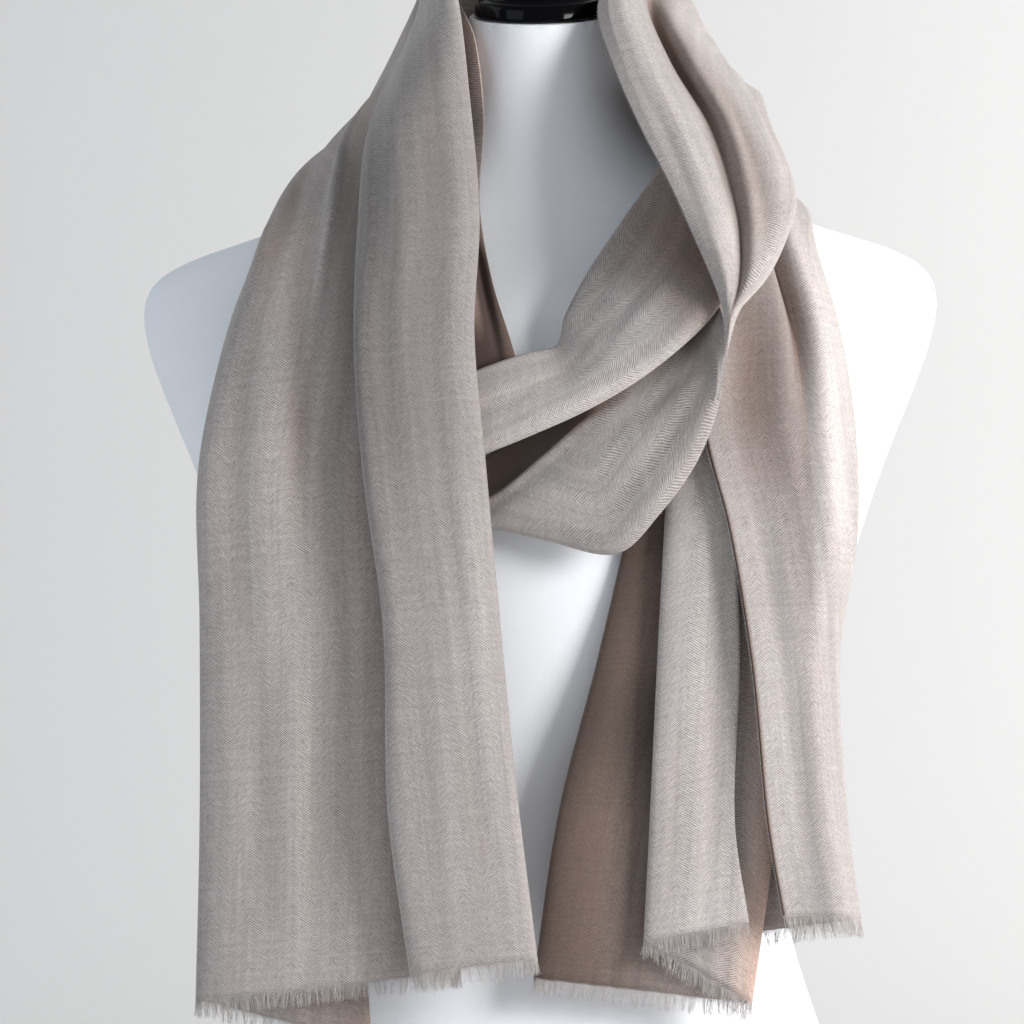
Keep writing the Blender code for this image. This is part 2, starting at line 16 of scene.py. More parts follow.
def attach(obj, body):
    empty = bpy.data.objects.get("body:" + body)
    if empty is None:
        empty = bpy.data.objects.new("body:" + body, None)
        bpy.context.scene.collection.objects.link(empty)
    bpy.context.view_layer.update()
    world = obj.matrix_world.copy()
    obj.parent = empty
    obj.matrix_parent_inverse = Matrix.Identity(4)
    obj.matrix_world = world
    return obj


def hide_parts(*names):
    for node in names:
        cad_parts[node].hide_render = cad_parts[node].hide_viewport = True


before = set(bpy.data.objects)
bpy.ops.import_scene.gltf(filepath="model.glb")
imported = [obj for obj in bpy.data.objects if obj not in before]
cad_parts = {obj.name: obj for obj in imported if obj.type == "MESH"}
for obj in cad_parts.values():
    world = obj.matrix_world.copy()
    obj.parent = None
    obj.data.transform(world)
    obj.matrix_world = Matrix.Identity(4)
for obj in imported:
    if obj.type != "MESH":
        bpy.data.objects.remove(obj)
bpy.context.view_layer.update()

MM = 0.001
EYE = (-14.0, -1500.0, 456.0)      # the point that the front elevation is drawn from
ROLL = 3.0                         # radius of a rolled fold
ROLL_RUN = 3.0                     # how far a roll's flanks run straight, in radii
ROLL_NOSE = 0.25                   # how far its middle stands out past them, in radii
ROLL_POINTS = 5                    # control points across a roll
FLANK = 0.15                       # most of a panel's width that a roll's radius takes
DEEPEST = 24.0                     # cloth further than this from the form isn't laid on it
NECK_RIM = 692.0                   # cloth above this height isn't laid on the form
LAY_SOFTENED = 6                   # times that the moves of the laid cloth are softened
LAY_AGAIN = 0.7                    # share of its rest that a point keeps after that
CELL = 2.6                         # spacing of points across the cloth
ROW = 3.6                          # spacing of points along it
CLOTH = 0.5                        # thickness of the woven cloth
CREASE_ENDS = 1.5                  # how softly a crease comes and goes along its line
FADE = 0.3                         # share of the line of a painted shade or light over which it comes and goes
PAINTED_SHADE_MOST = 2.0                # most painted brown shade that folds, creases and painted light and shade add up to
FACING = (0.0, -1.0, 0.3)          # roughly where the right side of the cloth looks

# -------- cloth tables
# Each cloth table has a row for each section along the stretch and a column for each
# fold line. A cell is (across, depth, height) in millimetres on the front elevation.
# A fold line has its name, its kind, the side that the next layer turns to, the least
# distance that it keeps from the form, and how much it lies in brown shade. A section
# starts with the share of the full radius that each of its rolled folds has.
OUTER_FOLDS = [
    ("inner", "free", 0, 12, .05), ("crown", "roll", 1, 16, 0), ("face", "soft", 0, 20, 0),
    ("pleat", "roll", -1, 16, 0), ("tuck", "roll", -1, 10, .55), ("side", "soft", 0, 7, .1),
    ("swell", "soft", 0, 6.2, 0), ("outer", "roll", -1, 3.8, 0), ("back", "free", 0, 1.5, .7)]
# section: share of the roll at crown, pleat, tuck and outer, then a cell for each fold line
LAPEL = {
    "line": ((0, 0, 0, 0), (88.6, -142.2, 512), (88.7, -142.2, 512), (88.8, -142.2, 512),
        (88.9, -142.2, 512), (89.1, -142.2, 512), (89.2, -142.2, 512), (89.4, -142.2, 512),
        (89.5, -142.2, 512), (89.6, -142.2, 512)),
    "nib": ((0, 0, 0, 0), (91.9, -142.7, 530), (92.05, -142.7, 530), (92.2, -142.7, 530),
        (92.35, -142.7, 530), (92.5, -142.7, 530), (92.65, -142.7, 530), (92.8, -142.7, 530),
        (92.95, -142.7, 530), (93.1, -142.7, 530)),
    "point": ((0, 0, 0, 0), (92.7, -142.4, 540), (92.95, -142.5, 540), (93.2, -142.6, 540),
        (93.45, -142.7, 540), (93.7, -142.7, 540), (93.95, -142.7, 540), (94.2, -142.6, 540),
        (94.45, -142.5, 540), (94.7, -142.4, 540)),
    "pinch": ((0, 0, 0, 0), (91.6, -137.8, 556), (92.5, -139, 556), (93.5, -140.4, 556), (94.6, -141.2, 556),
        (95.7, -141.5, 556), (96.8, -141.3, 556), (97.9, -140.6, 556), (98.9, -139.4, 556),
        (99.9, -137.8, 557)),
    "gather": ((0, 0, 0, .2), (88, -137, 568), (90, -140, 568), (93.5, -142.5, 568), (96.5, -141, 569),
        (99.5, -137, 569), (103, -141, 570), (108, -139, 571), (112, -131, 571), (110, -125, 572)),
    "turn": ((0, 0, 0, 1), (76, -136.2, 596), (80, -138.4, 596), (87, -141, 596), (95, -134, 596),
        (100, -124, 596), (107, -134, 595), (117, -126, 597), (126, -112, 601), (115, -111, 598)),
    "lower": ((0, 0, 0, 1), (64.5, -119.6, 621), (69, -121.2, 621), (77, -123.5, 621), (87, -116, 621),
        (95, -104, 621), (104, -115, 622), (116, -103, 623), (126.5, -85, 620), (114, -94, 622)),
    "middle": ((0, 0, 0, 1), (50, -99.4, 649), (55, -100.8, 650), (64, -102, 651), (77, -92, 651),
        (86, -78, 650), (96, -92, 650), (106.5, -76, 650), (115.2, -52, 648), (103, -67, 650)),
    "upper": ((0, 0, 0, 1), (37, -72.8, 679), (42, -73.8, 681), (50, -73.2, 683), (60, -63, 683),
        (68, -46, 680), (79, -60, 681), (92, -40, 677), (111, -12, 661), (95, -25, 668)),
    "crest": ((0, 0, 0, 1), (29, -38.6, 708), (34, -39.6, 714), (41, -37, 718), (50, -27, 716),
        (55, -13, 710), (67, -20, 708), (80, -2, 694), (110, 22, 657), (91, 12, 671)),
}
NAPE_OUTER = {
    "right side": ((.4, 0, 0, 1), (36, -8, 728), (42, -10, 738), (50, -3, 740), (57, 6, 735), (59, 14, 726),
        (70, 20, 716), (84, 30, 697), (106, 50, 650), (90, 38, 670)),
    "right back": ((1, 0, 0, 1), (44, 26, 738), (47, 29, 748), (53, 39, 749), (58, 48, 742), (58, 51, 733),
        (66, 60, 720), (74, 68, 698), (84, 78, 640), (71, 64, 668)),
    "nape": ((1, 0, 0, 1), (2, 50, 740), (2, 54, 751), (1, 65, 752), (0, 74, 744), (0, 73, 734),
        (-1, 86, 718), (-2, 92, 694), (-3, 90, 634), (-3, 82, 662)),
    "left back": ((1, 0, 0, 1), (-44, 24, 735), (-48, 28, 745), (-53, 38, 744), (-57, 46, 735),
        (-56, 47, 725), (-61, 56, 710), (-71, 65, 686), (-90, 74, 627), (-78, 64, 656)),
}
LEFT_TAIL = {
    "side": ((1, .1, .1, .6), (-44, -2, 718), (-47, 2, 730), (-54, 8, 724), (-61, 16, 707), (-59, 18, 695),
        (-73, 24, 678), (-94, 34, 648), (-119, 48, 611), (-100, 39, 622)),
    "crest": ((1, 0, 0, .35), (-48, -26, 694), (-42, -26, 714), (-56, -20, 706), (-72, -6, 679),
        (-80, -3, 669), (-94, -2, 650), (-117, 2, 634), (-131, 18, 604), (-108, 15, 611)),
    "throat": ((1, .3, .3, .4), (-52, -52, 650), (-35, -60, 661), (-60, -64, 660), (-87, -48, 642),
        (-84, -41, 637), (-104, -39, 623), (-129, -41, 611), (-138, -42, 590), (-110, -34, 594)),
    "collar": ((1, .9, .9, .6), (-54, -80, 603), (-30.5, -90, 606), (-60, -97, 606), (-91, -84, 600),
        (-76, -77, 598), (-109, -71, 593), (-135, -70, 588), (-145.5, -62, 573), (-113, -56, 577)),
    "chest": ((1, 1, 1, 1), (-54, -108, 543), (-33, -118, 545), (-60, -125, 545), (-93, -121, 542),
        (-66, -113, 542), (-116, -106, 540), (-138, -97, 540), (-158, -84, 540), (-122, -91, 542)),
    "bust": ((1, 1, 1, 1), (-50, -122, 482), (-27.5, -129, 482), (-58, -136, 480), (-89, -132, 480),
        (-64, -124, 480), (-114, -116, 480), (-140, -119, 480), (-170.5, -106, 480), (-120, -108, 480)),
    "waist": ((1, 1, 1, 1), (-44, -122, 400), (-20, -129, 400), (-46, -137, 400), (-78.5, -132, 400),
        (-54, -124, 400), (-106, -114, 400), (-136, -121, 400), (-170, -108, 400), (-104, -108, 400)),
    "hip": ((1, 1, 1, 1), (-36, -120, 310), (-11, -127, 310), (-40, -134, 308), (-76, -130, 306),
        (-50, -122, 306), (-100, -112, 304), (-132, -119, 302), (-170, -106, 300), (-92, -106, 300)),
    "hem": ((1, 1, 1, 1), (-36, -118, 237), (-1.5, -124, 233), (-32, -130, 229), (-65, -126, 225),
        (-40, -118, 226), (-98, -111, 220), (-134, -116, 216), (-172, -104, 212), (-84, -103, 190)),
}

RIGHT_FOLDS = [
    ("selvedge", "free", 0, 18, 0), ("panel", "soft", 0, 18, 0), ("bend", "soft", 0, 14, 0),
    ("side", "roll", -1, 5, 0), ("rear", "soft", 0, 2.2, 1.1), ("left", "roll", 1, 4.2, 1.18),
    ("right", "roll", 1, 8.2, .2), ("middle", "roll", 1, 12.2, 0), ("inset", "free", 0, 14.2, 0)]
# section: share of the roll at side, left, right and middle, then a cell for each fold line
RIGHT_TAIL = {
    "crest": ((1, .65, .65, .65), (60, -8, 664), (96, -4, 645), (118, 2, 624), (130, 8, 605), (108, 2, 615),
        (72, -2, 636), (108, -6, 622), (74, -8, 642), (104, -8, 630)),
    "shoulder": ((1, .65, .65, .65), (74, -60, 636), (100, -52, 630), (120, -40, 618), (133, -24, 600),
        (108, -34, 608), (72, -46, 620), (108, -43, 611), (74, -53, 622), (104, -50, 614)),
    "collar": ((1, .65, .65, .65), (79, -93, 600), (104, -89, 599), (122, -73, 599), (136, -52, 592),
        (108, -64, 598), (66, -72, 600), (106, -72, 599), (68, -81, 600), (100, -82, 599)),
    "chest": ((1, .65, .65, .65), (81, -113, 550), (114, -110, 550), (135, -104, 550), (149, -82, 550),
        (104, -89, 550), (60, -93, 550), (110, -97, 550), (66, -102, 550), (100, -106, 550)),
    "bust": ((1, .65, .65, .65), (82, -124, 498), (116, -121, 500), (138, -122, 500), (157.5, -98, 500),
        (104, -99, 500), (52, -101, 500), (114, -106, 500), (65, -111, 500), (98, -116, 500)),
    "rib": ((1, .65, .65, .65), (94, -130, 450), (118, -124, 450), (141, -127, 450), (159, -104, 450),
        (100, -103, 450), (44, -106, 450), (117, -111, 450), (62.5, -116, 450), (98, -121, 450)),
    "waist": ((1, .65, .65, .65), (105, -131, 385), (122, -124, 385), (138, -128, 385), (150, -106, 385),
        (96, -103, 385), (29.5, -107, 385), (118, -111, 385), (59, -117, 385), (100, -121, 385)),
    "hip": ((1, .65, .65, .65), (113.5, -127, 301), (128, -122, 301), (143, -125, 301), (154, -105, 301),
        (84, -102, 301), (8.5, -105, 301), (118, -109, 301), (55, -115, 301), (97.5, -119, 301)),
    "hem": ((1, .65, .65, .65), (121.5, -124, 254), (133, -119, 254), (149, -122, 254), (160.5, -104, 252),
        (80, -100, 243), (-3, -103, 223), (106, -107, 210), (52, -113, 242), (104.5, -117, 251)),
}

INNER_FOLDS = [
    ("edge", "free", 0, 2.4, .5), ("crease", "soft", 0, 2.4, .6), ("rise", "soft", 0, 2.4, .8),
    ("foot", "free", 0, 2.4, 1.1)]
NAPE_INNER = {
    "right side": ((), (60, -7.5, 664), (96, -3.5, 645), (120, 2.8, 622), (133, 9, 604)),
    "right rear": ((), (56, 24, 672), (80, 29, 650), (102, 30, 628), (124, 34, 600)),
    "right back": ((), (44, 36, 694), (52, 45, 680), (62, 50, 654), (74, 52, 622)),
    "nape": ((), (2, 42, 708), (1, 52, 700), (0, 62, 676), (0, 66, 646)),
    "left back": ((), (-38, 28, 708), (-46, 40, 696), (-56, 50, 668), (-70, 58, 636)),
}
LEFT_INNER = {
    "side": ((), (-40, -4, 710), (-45, 0, 694), (-55, 6, 664), (-82, 8, 628)),
    "throat": ((), (-33, -32, 694), (-38, -28, 684), (-50, -16, 658), (-74, -10, 630)),
    "neck": ((), (-28, -52, 655), (-36, -50, 648), (-51, -42, 636), (-72, -34, 616)),
    "collar": ((), (-30, -72, 609), (-38, -72, 607), (-54, -70, 600), (-72, -62, 594)),
    "breast": ((), (-24, -88, 572), (-31, -87, 572), (-48, -92, 568), (-70, -84, 564)),
    "loop": ((), (-13, -97, 536), (-22, -98, 535), (-42, -101, 532), (-66, -97, 528)),
    "foot": ((), (-9, -100, 520), (-19, -101, 518), (-40, -103, 516), (-62, -100, 514)),
}

UPPER_FOLDS = [
    ("top", "free", 0, 4, 0), ("high", "soft", 0, 8, 0), ("swell", "soft", 0, 12, 0),
    ("lip", "roll", -1, 10, 0), ("hollow", "free", 0, 7, 1.4)]
LOOP_UPPER = {
    "root": ((1,), (-64, -108, 510), (-64, -112, 500), (-64, -114, 488), (-63, -114, 474), (-60, -107, 484)),
    "left": ((1,), (-31, -107, 527), (-29, -114, 516), (-27, -120, 501), (-26, -119, 486), (-25, -110, 496)),
    "knee": ((1,), (-8, -106, 535), (-5, -116, 524), (-3, -125, 510), (-2, -125, 496), (0, -114, 506)),
    "dip": ((1,), (8, -104, 539), (12, -116, 530), (16, -127, 519), (20, -129, 506), (20, -117, 516)),
    "rise": ((1,), (12.5, -100, 554), (25, -115, 545), (36, -128, 534), (45, -133, 520), (42, -121, 529)),
    "cross": ((1,), (24, -94, 576), (40, -111, 564), (55, -127, 550), (69, -135, 538), (63, -124, 546)),
    "under": ((1,), (42, -88, 603), (58, -105, 589), (74, -122, 571), (87, -131, 556), (80, -121, 563)),
    "cover": ((1,), (60, -80, 630), (74, -94, 614), (90, -109, 597), (102, -115, 584), (93, -106, 588)),
    "shoulder": ((1,), (60, -58, 658), (74, -72, 646), (91, -80, 630), (106, -82, 614), (95, -77, 620)),
}

LOWER_FOLDS = [
    ("top", "free", 0, 1.4, .7), ("brow", "soft", 0, 3, .1), ("middle", "soft", 0, 6, 0),
    ("low", "soft", 0, 6, 0), ("bottom", "roll", -1, 5, 0), ("turned", "free", 0, 1.8, .6)]
LOOP_LOWER = {
    "root": ((1,), (-62, -104, 468), (-62, -108, 456), (-60, -113, 448), (-59, -113, 440), (-58, -109, 431),
        (-56, -105, 442)),
    "left": ((1,), (-26, -104, 484), (-24, -113, 461), (-25, -118, 455), (-25, -118, 452),
        (-25.5, -115, 447), (-24, -107, 458)),
    "knee": ((1,), (2, -107, 504), (2, -117, 484), (2, -124, 468), (2, -124, 454), (2, -119, 442),
        (2, -110, 456)),
    "dip": ((1,), (24, -110, 520), (21, -120, 504), (27, -130, 480), (34, -130, 456), (39, -124, 435.5),
        (32, -115, 450)),
    "rise": ((.6,), (46, -115, 534), (44, -124, 516), (49, -134, 494), (54, -136, 472), (60, -132, 455),
        (52, -125, 463)),
    "cross": ((.35,), (60, -117, 540), (66, -125, 529), (70, -136, 515), (75, -139, 498), (79.5, -136, 483),
        (72, -130, 491)),
    "pinch": ((.25,), (76, -118, 548), (81, -127, 541), (85, -136, 533), (88, -140, 524), (90, -139, 514),
        (85, -133, 520)),
    "tip": ((.2,), (83, -117, 554), (85.5, -127, 550), (88, -134, 546), (90, -137.5, 539), (92, -139, 531),
        (88, -133, 534)),
    "end": ((.1,), (89, -122, 561), (90.5, -129, 557), (91.8, -134, 553), (93, -137.5, 548),
        (94.3, -140, 541), (92, -136, 542)),
}

# Soft creases: the place across, in folds, and the section where each starts and ends, its height
# in millimetres (a trough is negative), its half width, and the painted brown shade it adds.
OUTER_CREASES = [
    (4.0, "lower", 4.0, "right side", -2.0, 4.5, .6), (4.5, "tail side", 5.1, "tail chest", 3.0, 3.2, -.3),
    (6.3, "gather", 6.5, "crest", 1.8, 6, 0), (5.5, "gather", 5.4, "upper", -2.2, 5, .26),
    (6.8, "turn", 6.7, "right side", -1.4, 6, .17), (1.6, "turn", 1.7, "upper", -1.2, 4, .14),
    (2.5, "gather", 2.6, "crest", 1.0, 5, 0), (5.2, "upper", 5.8, "left back", 1.8, 8, 0),
    (6.3, "right side", 6.6, "tail side", -1.8, 8, .22), (2.4, "crest", 2.6, "left back", -1.4, 6, .17),
    (5.6, "left back", 6.1, "tail chest", -2.4, 8, .29), (6.9, "tail crest", 6.2, "tail bust", 2.2, 9, 0),
    (5.35, "tail throat", 5.2, "tail waist", -3.0, 7, .36),
    (6.5, "tail collar", 6.7, "tail hip", -1.5, 9, .18), (5.9, "tail chest", 5.7, "tail hem", 1.6, 10, 0),
    (6.8, "tail bust", 6.6, "tail hem", 1.2, 8, 0), (6.2, "tail waist", 6.35, "tail hem", -1.5, 9, .18),
    (5.3, "tail waist", 5.4, "tail hem", -1.1, 8, .13), (2.6, "tail side", 2.3, "tail chest", 1.5, 7, 0),
    (1.7, "tail side", 1.9, "tail bust", -1.6, 7, .19),
    (2.75, "tail collar", 2.6, "tail waist", -1.3, 7, .16), (1.45, "tail chest", 1.5, "tail hip", 1.2, 7, 0),
    (2.2, "tail bust", 2.1, "tail hem", 1.4, 9, 0), (1.8, "tail waist", 1.75, "tail hem", -1.2, 7, .14)]
RIGHT_CREASES = [
    (1.75, "crest", 1.85, "rib", -5.0, 4.5, .2), (1.75, "crest", 1.8, "bust", -5.0, 4.5, 1.0),
    (2.2, "shoulder", 2.25, "waist", 2.8, 8, 0), (0.6, "collar", 0.8, "rib", -4.0, 14, .48),
    (1.2, "chest", 1.3, "hip", 1.2, 8, 0), (0.35, "bust", 0.4, "hem", 1.0, 6, 0),
    (1.6, "rib", 1.5, "hem", -1.2, 7, .14), (2.4, "bust", 2.3, "hem", -0.9, 6, .11),
    (7.45, "chest", 7.4, "hip", 1.5, 9, 0), (7.7, "rib", 7.75, "hem", -1.2, 7, .14),
    (7.25, "waist", 7.2, "hem", -0.9, 7, .11), (4.4, "rib", 4.5, "hem", -1.6, 12, .19),
    (4.75, "waist", 4.7, "hem", 1.2, 8, 0)]
INNER_CREASES = [
    (1.4, "right rear", 1.6, "left side", 1.6, 7, 0), (2.3, "right back", 2.1, "left side", -1.2, 7, .14),
    (0.5, "left collar", 0.85, "left foot", -2.6, 2.4, .5),
    (1.15, "left collar", 1.35, "left loop", 1.8, 3.5, -.5)]
UPPER_CREASES = [
    (1.3, "left", 1.0, "cross", -1.6, 5, .19), (2.2, "root", 2.4, "rise", 1.2, 5, 0),
    (1.6, "rise", 1.8, "cover", 1.6, 8, 0), (2.6, "dip", 2.6, "under", -0.9, 4, .11),
    (0.6, "dip", 0.5, "cover", -1.0, 5, .12), (1.8, "knee", 1.2, "under", -1.2, 5, .14)]
LOWER_CREASES = [
    (1.15, "root", 1.15, "rise", 1.6, 2.6, 0), (2.3, "left", 1.7, "tip", 0.9, 7, 0),
    (3.0, "knee", 2.4, "tip", -1.1, 5, .12), (3.6, "knee", 3.3, "tip", 0.6, 5, 0),
    (1.5, "dip", 1.8, "tip", -0.9, 4, .1), (3.9, "dip", 3.8, "pinch", -0.5, 4, .05)]

# Where the cloth is painted darker or lighter, standing in for shade and light: a line as for a
# crease, how far the painted tone reaches before and after it in millimetres, the painted brown
# shade it adds and the painted grey shade (painted light if negative).
OUTER_LIGHT_AND_SHADE = [
    (2.7, "tail crest", 2.7, "tail waist", 45, 40, 0, .4),
    (6.6, "tail chest", 6.6, "tail hem", 22, 14, 0, -.15),
    (4.8, "tail bust", 4.8, "tail hem", 13, 13, 0, -.25),
    (5.4, "tail throat", 5.6, "tail bust", 12, 12, 0, -.2),
    (6.2, "tail side", 6.2, "tail chest", 14, 14, .4, .05),
    (4.6, "tail side", 4.6, "tail bust", 12, 5, 0, .2), (5.2, "gather", 5.2, "crest", 12, 12, .3, .12)]
RIGHT_LIGHT_AND_SHADE = [
    (0.0, "collar", 0.0, "hem", 1.0, 1.3, 1.6, .4), (1.78, "crest", 1.8, "waist", 26, 1.5, .4, .2),
    (0.5, "collar", 0.8, "rib", 18, 12, .2, .1), (7.6, "collar", 7.6, "hem", 28, 28, 0, -.4),
    (5.3, "bust", 5.3, "hip", 45, 45, 0, .45), (5.3, "waist", 5.3, "hem", 40, 30, 0, .35),
    (6.1, "rib", 6.0, "hem", 14, 14, .8, -1.2), (2.25, "shoulder", 2.3, "waist", 5, 12, .1, -.35)]
INNER_LIGHT_AND_SHADE = [
    (0.9, "left collar", 1.1, "left foot", 25, 30, .75, .05),
    (0.5, "left side", 0.5, "left neck", 20, 20, .3, -1.3)]
UPPER_LIGHT_AND_SHADE = [
    (1.8, "cross", 1.8, "shoulder", 60, 60, 1.05, .2), (2.1, "root", 2.3, "under", 30, 26, 0, -.5)]
LOWER_LIGHT_AND_SHADE = [
    (1.0, "root", 1.05, "rise", 20, 1.2, 1.7, 0), (2.0, "rise", 2.4, "end", 30, 30, .15, .2)]


def seen(cell):
    """The real place, in metres, of a point read on the front elevation."""
    across, depth, height = cell
    reach = (depth - EYE[1]) / -EYE[1]
    return Vector((EYE[0] + (across - EYE[0]) * reach, depth, EYE[2] + (height - EYE[2]) * reach)) * MM


# -------- draping the cloth
def section_controls(folds, across, cells, rolls, travel):
    """The control points of one section, each with its rest distance and shade."""
    points = [seen(cell) for cell in cells]
    place = {fold[0]: point for fold, point in zip(folds, points)}
    outward = travel.cross(place[across[0]] - place[across[1]]).normalized()
    controls = []
    roll = iter(rolls)
    for index, (_, kind, turn, rest, shade) in enumerate(folds):
        point = points[index]
        if kind != "roll":
            controls.append((*point, rest * MM, shade))
            continue
        radius = ROLL * next(roll) * MM
        before, after = points[index - 1] - point, points[index + 1] - point
        before = before.normalized() * min(ROLL * MM, before.length * FLANK)
        after = after.normalized() * min(ROLL * MM, after.length * FLANK)
        lift = outward * radius * turn
        behind, ahead = rest * MM - radius * turn, rest * MM + radius * turn
        controls += [(*(point + before * ROLL_RUN - lift), behind, shade),
                     (*(point + before - lift), behind, shade),
                     (*(point - (before + after) * ROLL_NOSE), rest * MM, shade),
                     (*(point + after + lift), ahead, shade),
                     (*(point + after * ROLL_RUN + lift), ahead, shade)]
    return controls


def along(columns):
    """Points along each fold line, a smooth curve through its sections, and each section's row."""
    lines = np.array(columns)
    lengths = np.linalg.norm(np.diff(lines[:, :, :3], axis=0), axis=2).mean(axis=1)
    knots = np.concatenate(([0.0], np.cumsum(lengths)))
    slopes = np.diff(lines, axis=0) / lengths[:, None, None]
    tangents = np.empty_like(lines)
    tangents[0], tangents[-1] = slopes[0], slopes[-1]
    for i in range(1, len(knots) - 1):
        before, after = lengths[i - 1], lengths[i]
        tangents[i] = (slopes[i - 1] * after + slopes[i] * before) / (before + after)
    rows, starts = [], []
    for i, gap in enumerate(lengths):
        count = max(2, round(gap / (ROW * MM)))
        starts.append(len(rows))
        for step in range(count + (i == len(lengths) - 1)):
            t = step / count
            rows.append((2 * t**3 - 3 * t**2 + 1) * lines[i] + (3 * t**2 - 2 * t**3) * lines[i + 1]
                        + (t**3 - 2 * t**2 + t) * gap * tangents[i] + (t**3 - t**2) * gap * tangents[i + 1])
    return np.array(rows), starts + [len(rows) - 1]


def across_weights(counts):
    """How much each control point counts at each sample of a smooth curve across the cloth."""
    controls = len(counts) + 1
    weights = []
    for span, count in enumerate(counts):
        for t in np.arange(count) / count:
            row = np.zeros(controls + 2)
            row[span:span + 4] = ((1 - t)**3, 3 * t**3 - 6 * t**2 + 4, -3 * t**3 + 3 * t**2 + 3 * t + 1, t**3)
            weights.append(row / 6)
    last = np.zeros(controls + 2)
    last[-2] = 1.0
    weights = np.array(weights + [last])
    weights[:, 1] += 2 * weights[:, 0]             # the curve starts and ends on the outer points
    weights[:, 2] -= weights[:, 0]
    weights[:, -2] += 2 * weights[:, -1]
    weights[:, -3] -= weights[:, -1]
    return weights[:, 1:-1]


def blurred(field, times):
    """A field over the grid, softened by its neighbours."""
    for _ in range(times):
        for axis in (0, 1):
            moved = np.concatenate((np.take(field, [0], axis), field, np.take(field, [-1], axis)), axis)
            low = np.take(moved, range(field.shape[axis]), axis)
            high = np.take(moved, range(2, field.shape[axis] + 2), axis)
            field = field * 0.5 + (low + high) * 0.25
    return field


def laid_on(form, points, rests):
    """The points, each that lies nearer to the form than it rests moved out to there."""
    laid = points.copy()
    for place in np.ndindex(rests.shape):
        point = Vector(points[place])
        nearest, normal, _, _ = form.find_nearest(point, DEEPEST * MM)
        if nearest and (point - nearest).dot(normal) < rests[place] and nearest.z < NECK_RIM * MM:
            laid[place] = nearest + normal * rests[place]
    return laid


def unit(vectors):
    """The vectors at length one."""
    return vectors / np.linalg.norm(vectors, axis=-1, keepdims=True)


def fold_columns(folds, starts):
    """The column of points on which each fold line lies; a roll's is its middle control point."""
    columns = []
    control = 0
    for _, kind, *_ in folds:
        columns.append(starts[control + (ROLL_POINTS // 2 if kind == "roll" else 0)])
        control += ROLL_POINTS if kind == "roll" else 1
    return columns


def lay_out(form, folds, across, table):
    """The cloth on the form: its points and brown shade, its folds' columns and its sections' rows."""
    names = list(table)
    middles = [sum((seen(cell) for cell in table[name][1:]), Vector()) / len(folds) for name in names]
    controls = []
    for i, name in enumerate(names):
        rolls, *cells = table[name]
        travel = (middles[min(i + 1, len(names) - 1)] - middles[max(i - 1, 0)]).normalized()
        controls.append(section_controls(folds, across, cells, rolls, travel))
    lines, section_rows = along(controls)
    spans = np.linalg.norm(np.diff(lines[:, :, :3], axis=1), axis=2).max(axis=0)
    counts = [max(1, round(span / (CELL * MM))) for span in spans]
    grid = np.einsum("sc,rcx->rsx", across_weights(counts), lines)
    free, rests, brown = grid[:, :, :3], grid[:, :, 3], grid[:, :, 4]
    moves = blurred(laid_on(form, free, rests) - free, LAY_SOFTENED)
    points = laid_on(form, free + moves, rests * LAY_AGAIN)
    columns = fold_columns(folds, np.concatenate(([0], np.cumsum(counts))))
    return points, brown, columns, dict(zip(names, section_rows))


def beside(reach, sections, columns, line):
    """The rows that a line over the cloth crosses, and two measures at each of them.

    The first is the share of the line that is done, and the second is how far each point
    lies past it, in millimetres.
    """
    fold_a, section_a, fold_b, section_b = line
    rows = np.arange(sections[section_a], sections[section_b] + 1)
    share = (rows - rows[0]) / (len(rows) - 1)
    track = np.interp(fold_a + (fold_b - fold_a) * share, range(len(columns)), columns)
    places = range(reach.shape[1])
    middle = np.array([np.interp(column, places, reach[row]) for row, column in zip(rows, track)])
    return rows, share[:, None], (reach[rows] - middle[:, None]) / MM


def drape(form, folds, across, table, creases, light_and_shade):
    """The middle surface of the cloth: its points, painted shade and light, and where its folds and sections
    lie.
    """
    points, brown, columns, sections = lay_out(form, folds, across, table)
    reach = np.zeros(points.shape[:2])
    reach[:, 1:] = np.cumsum(np.linalg.norm(np.diff(points, axis=1), axis=2), axis=1)
    grey, lift = np.zeros_like(reach), np.zeros_like(reach)
    # a crease's trough gets painted brown shade, in place of the shade that falls in it
    for *line, height, width, brown_shade_added in creases:
        rows, share, past = beside(reach, sections, columns, line)
        strength = np.sin(math.pi * share) ** CREASE_ENDS * np.exp(-(past / width)**2)
        lift[rows] += height * MM * strength
        brown[rows] += brown_shade_added * strength
    # painted light and shade along lines: brown and grey shade, and painted light where negative
    for *line, before, after, brown_shade_added, darker in light_and_shade:
        rows, share, past = beside(reach, sections, columns, line)
        coming = np.ones_like(share) if rows[0] == 0 else np.minimum(share / FADE, 1)
        going = np.ones_like(share) if rows[-1] == len(points) - 1 else np.minimum((1 - share) / FADE, 1)
        strength = coming * going * np.exp(-(past / np.where(past < 0, before, after))**2)
        brown[rows] += brown_shade_added * strength
        grey[rows] += darker * strength
    normals = unit(np.cross(np.gradient(points, axis=1), np.gradient(points, axis=0)))
    outward = np.sign(np.sum(normals * np.array(FACING), axis=2).mean()) or 1.0
    return {
        "points": points + normals * lift[:, :, None] * outward,
        "brown": np.clip(brown, 0, PAINTED_SHADE_MOST),
        "grey": grey,
        "folds": dict(zip([fold[0] for fold in folds], columns)),
        "sections": sections,
    }


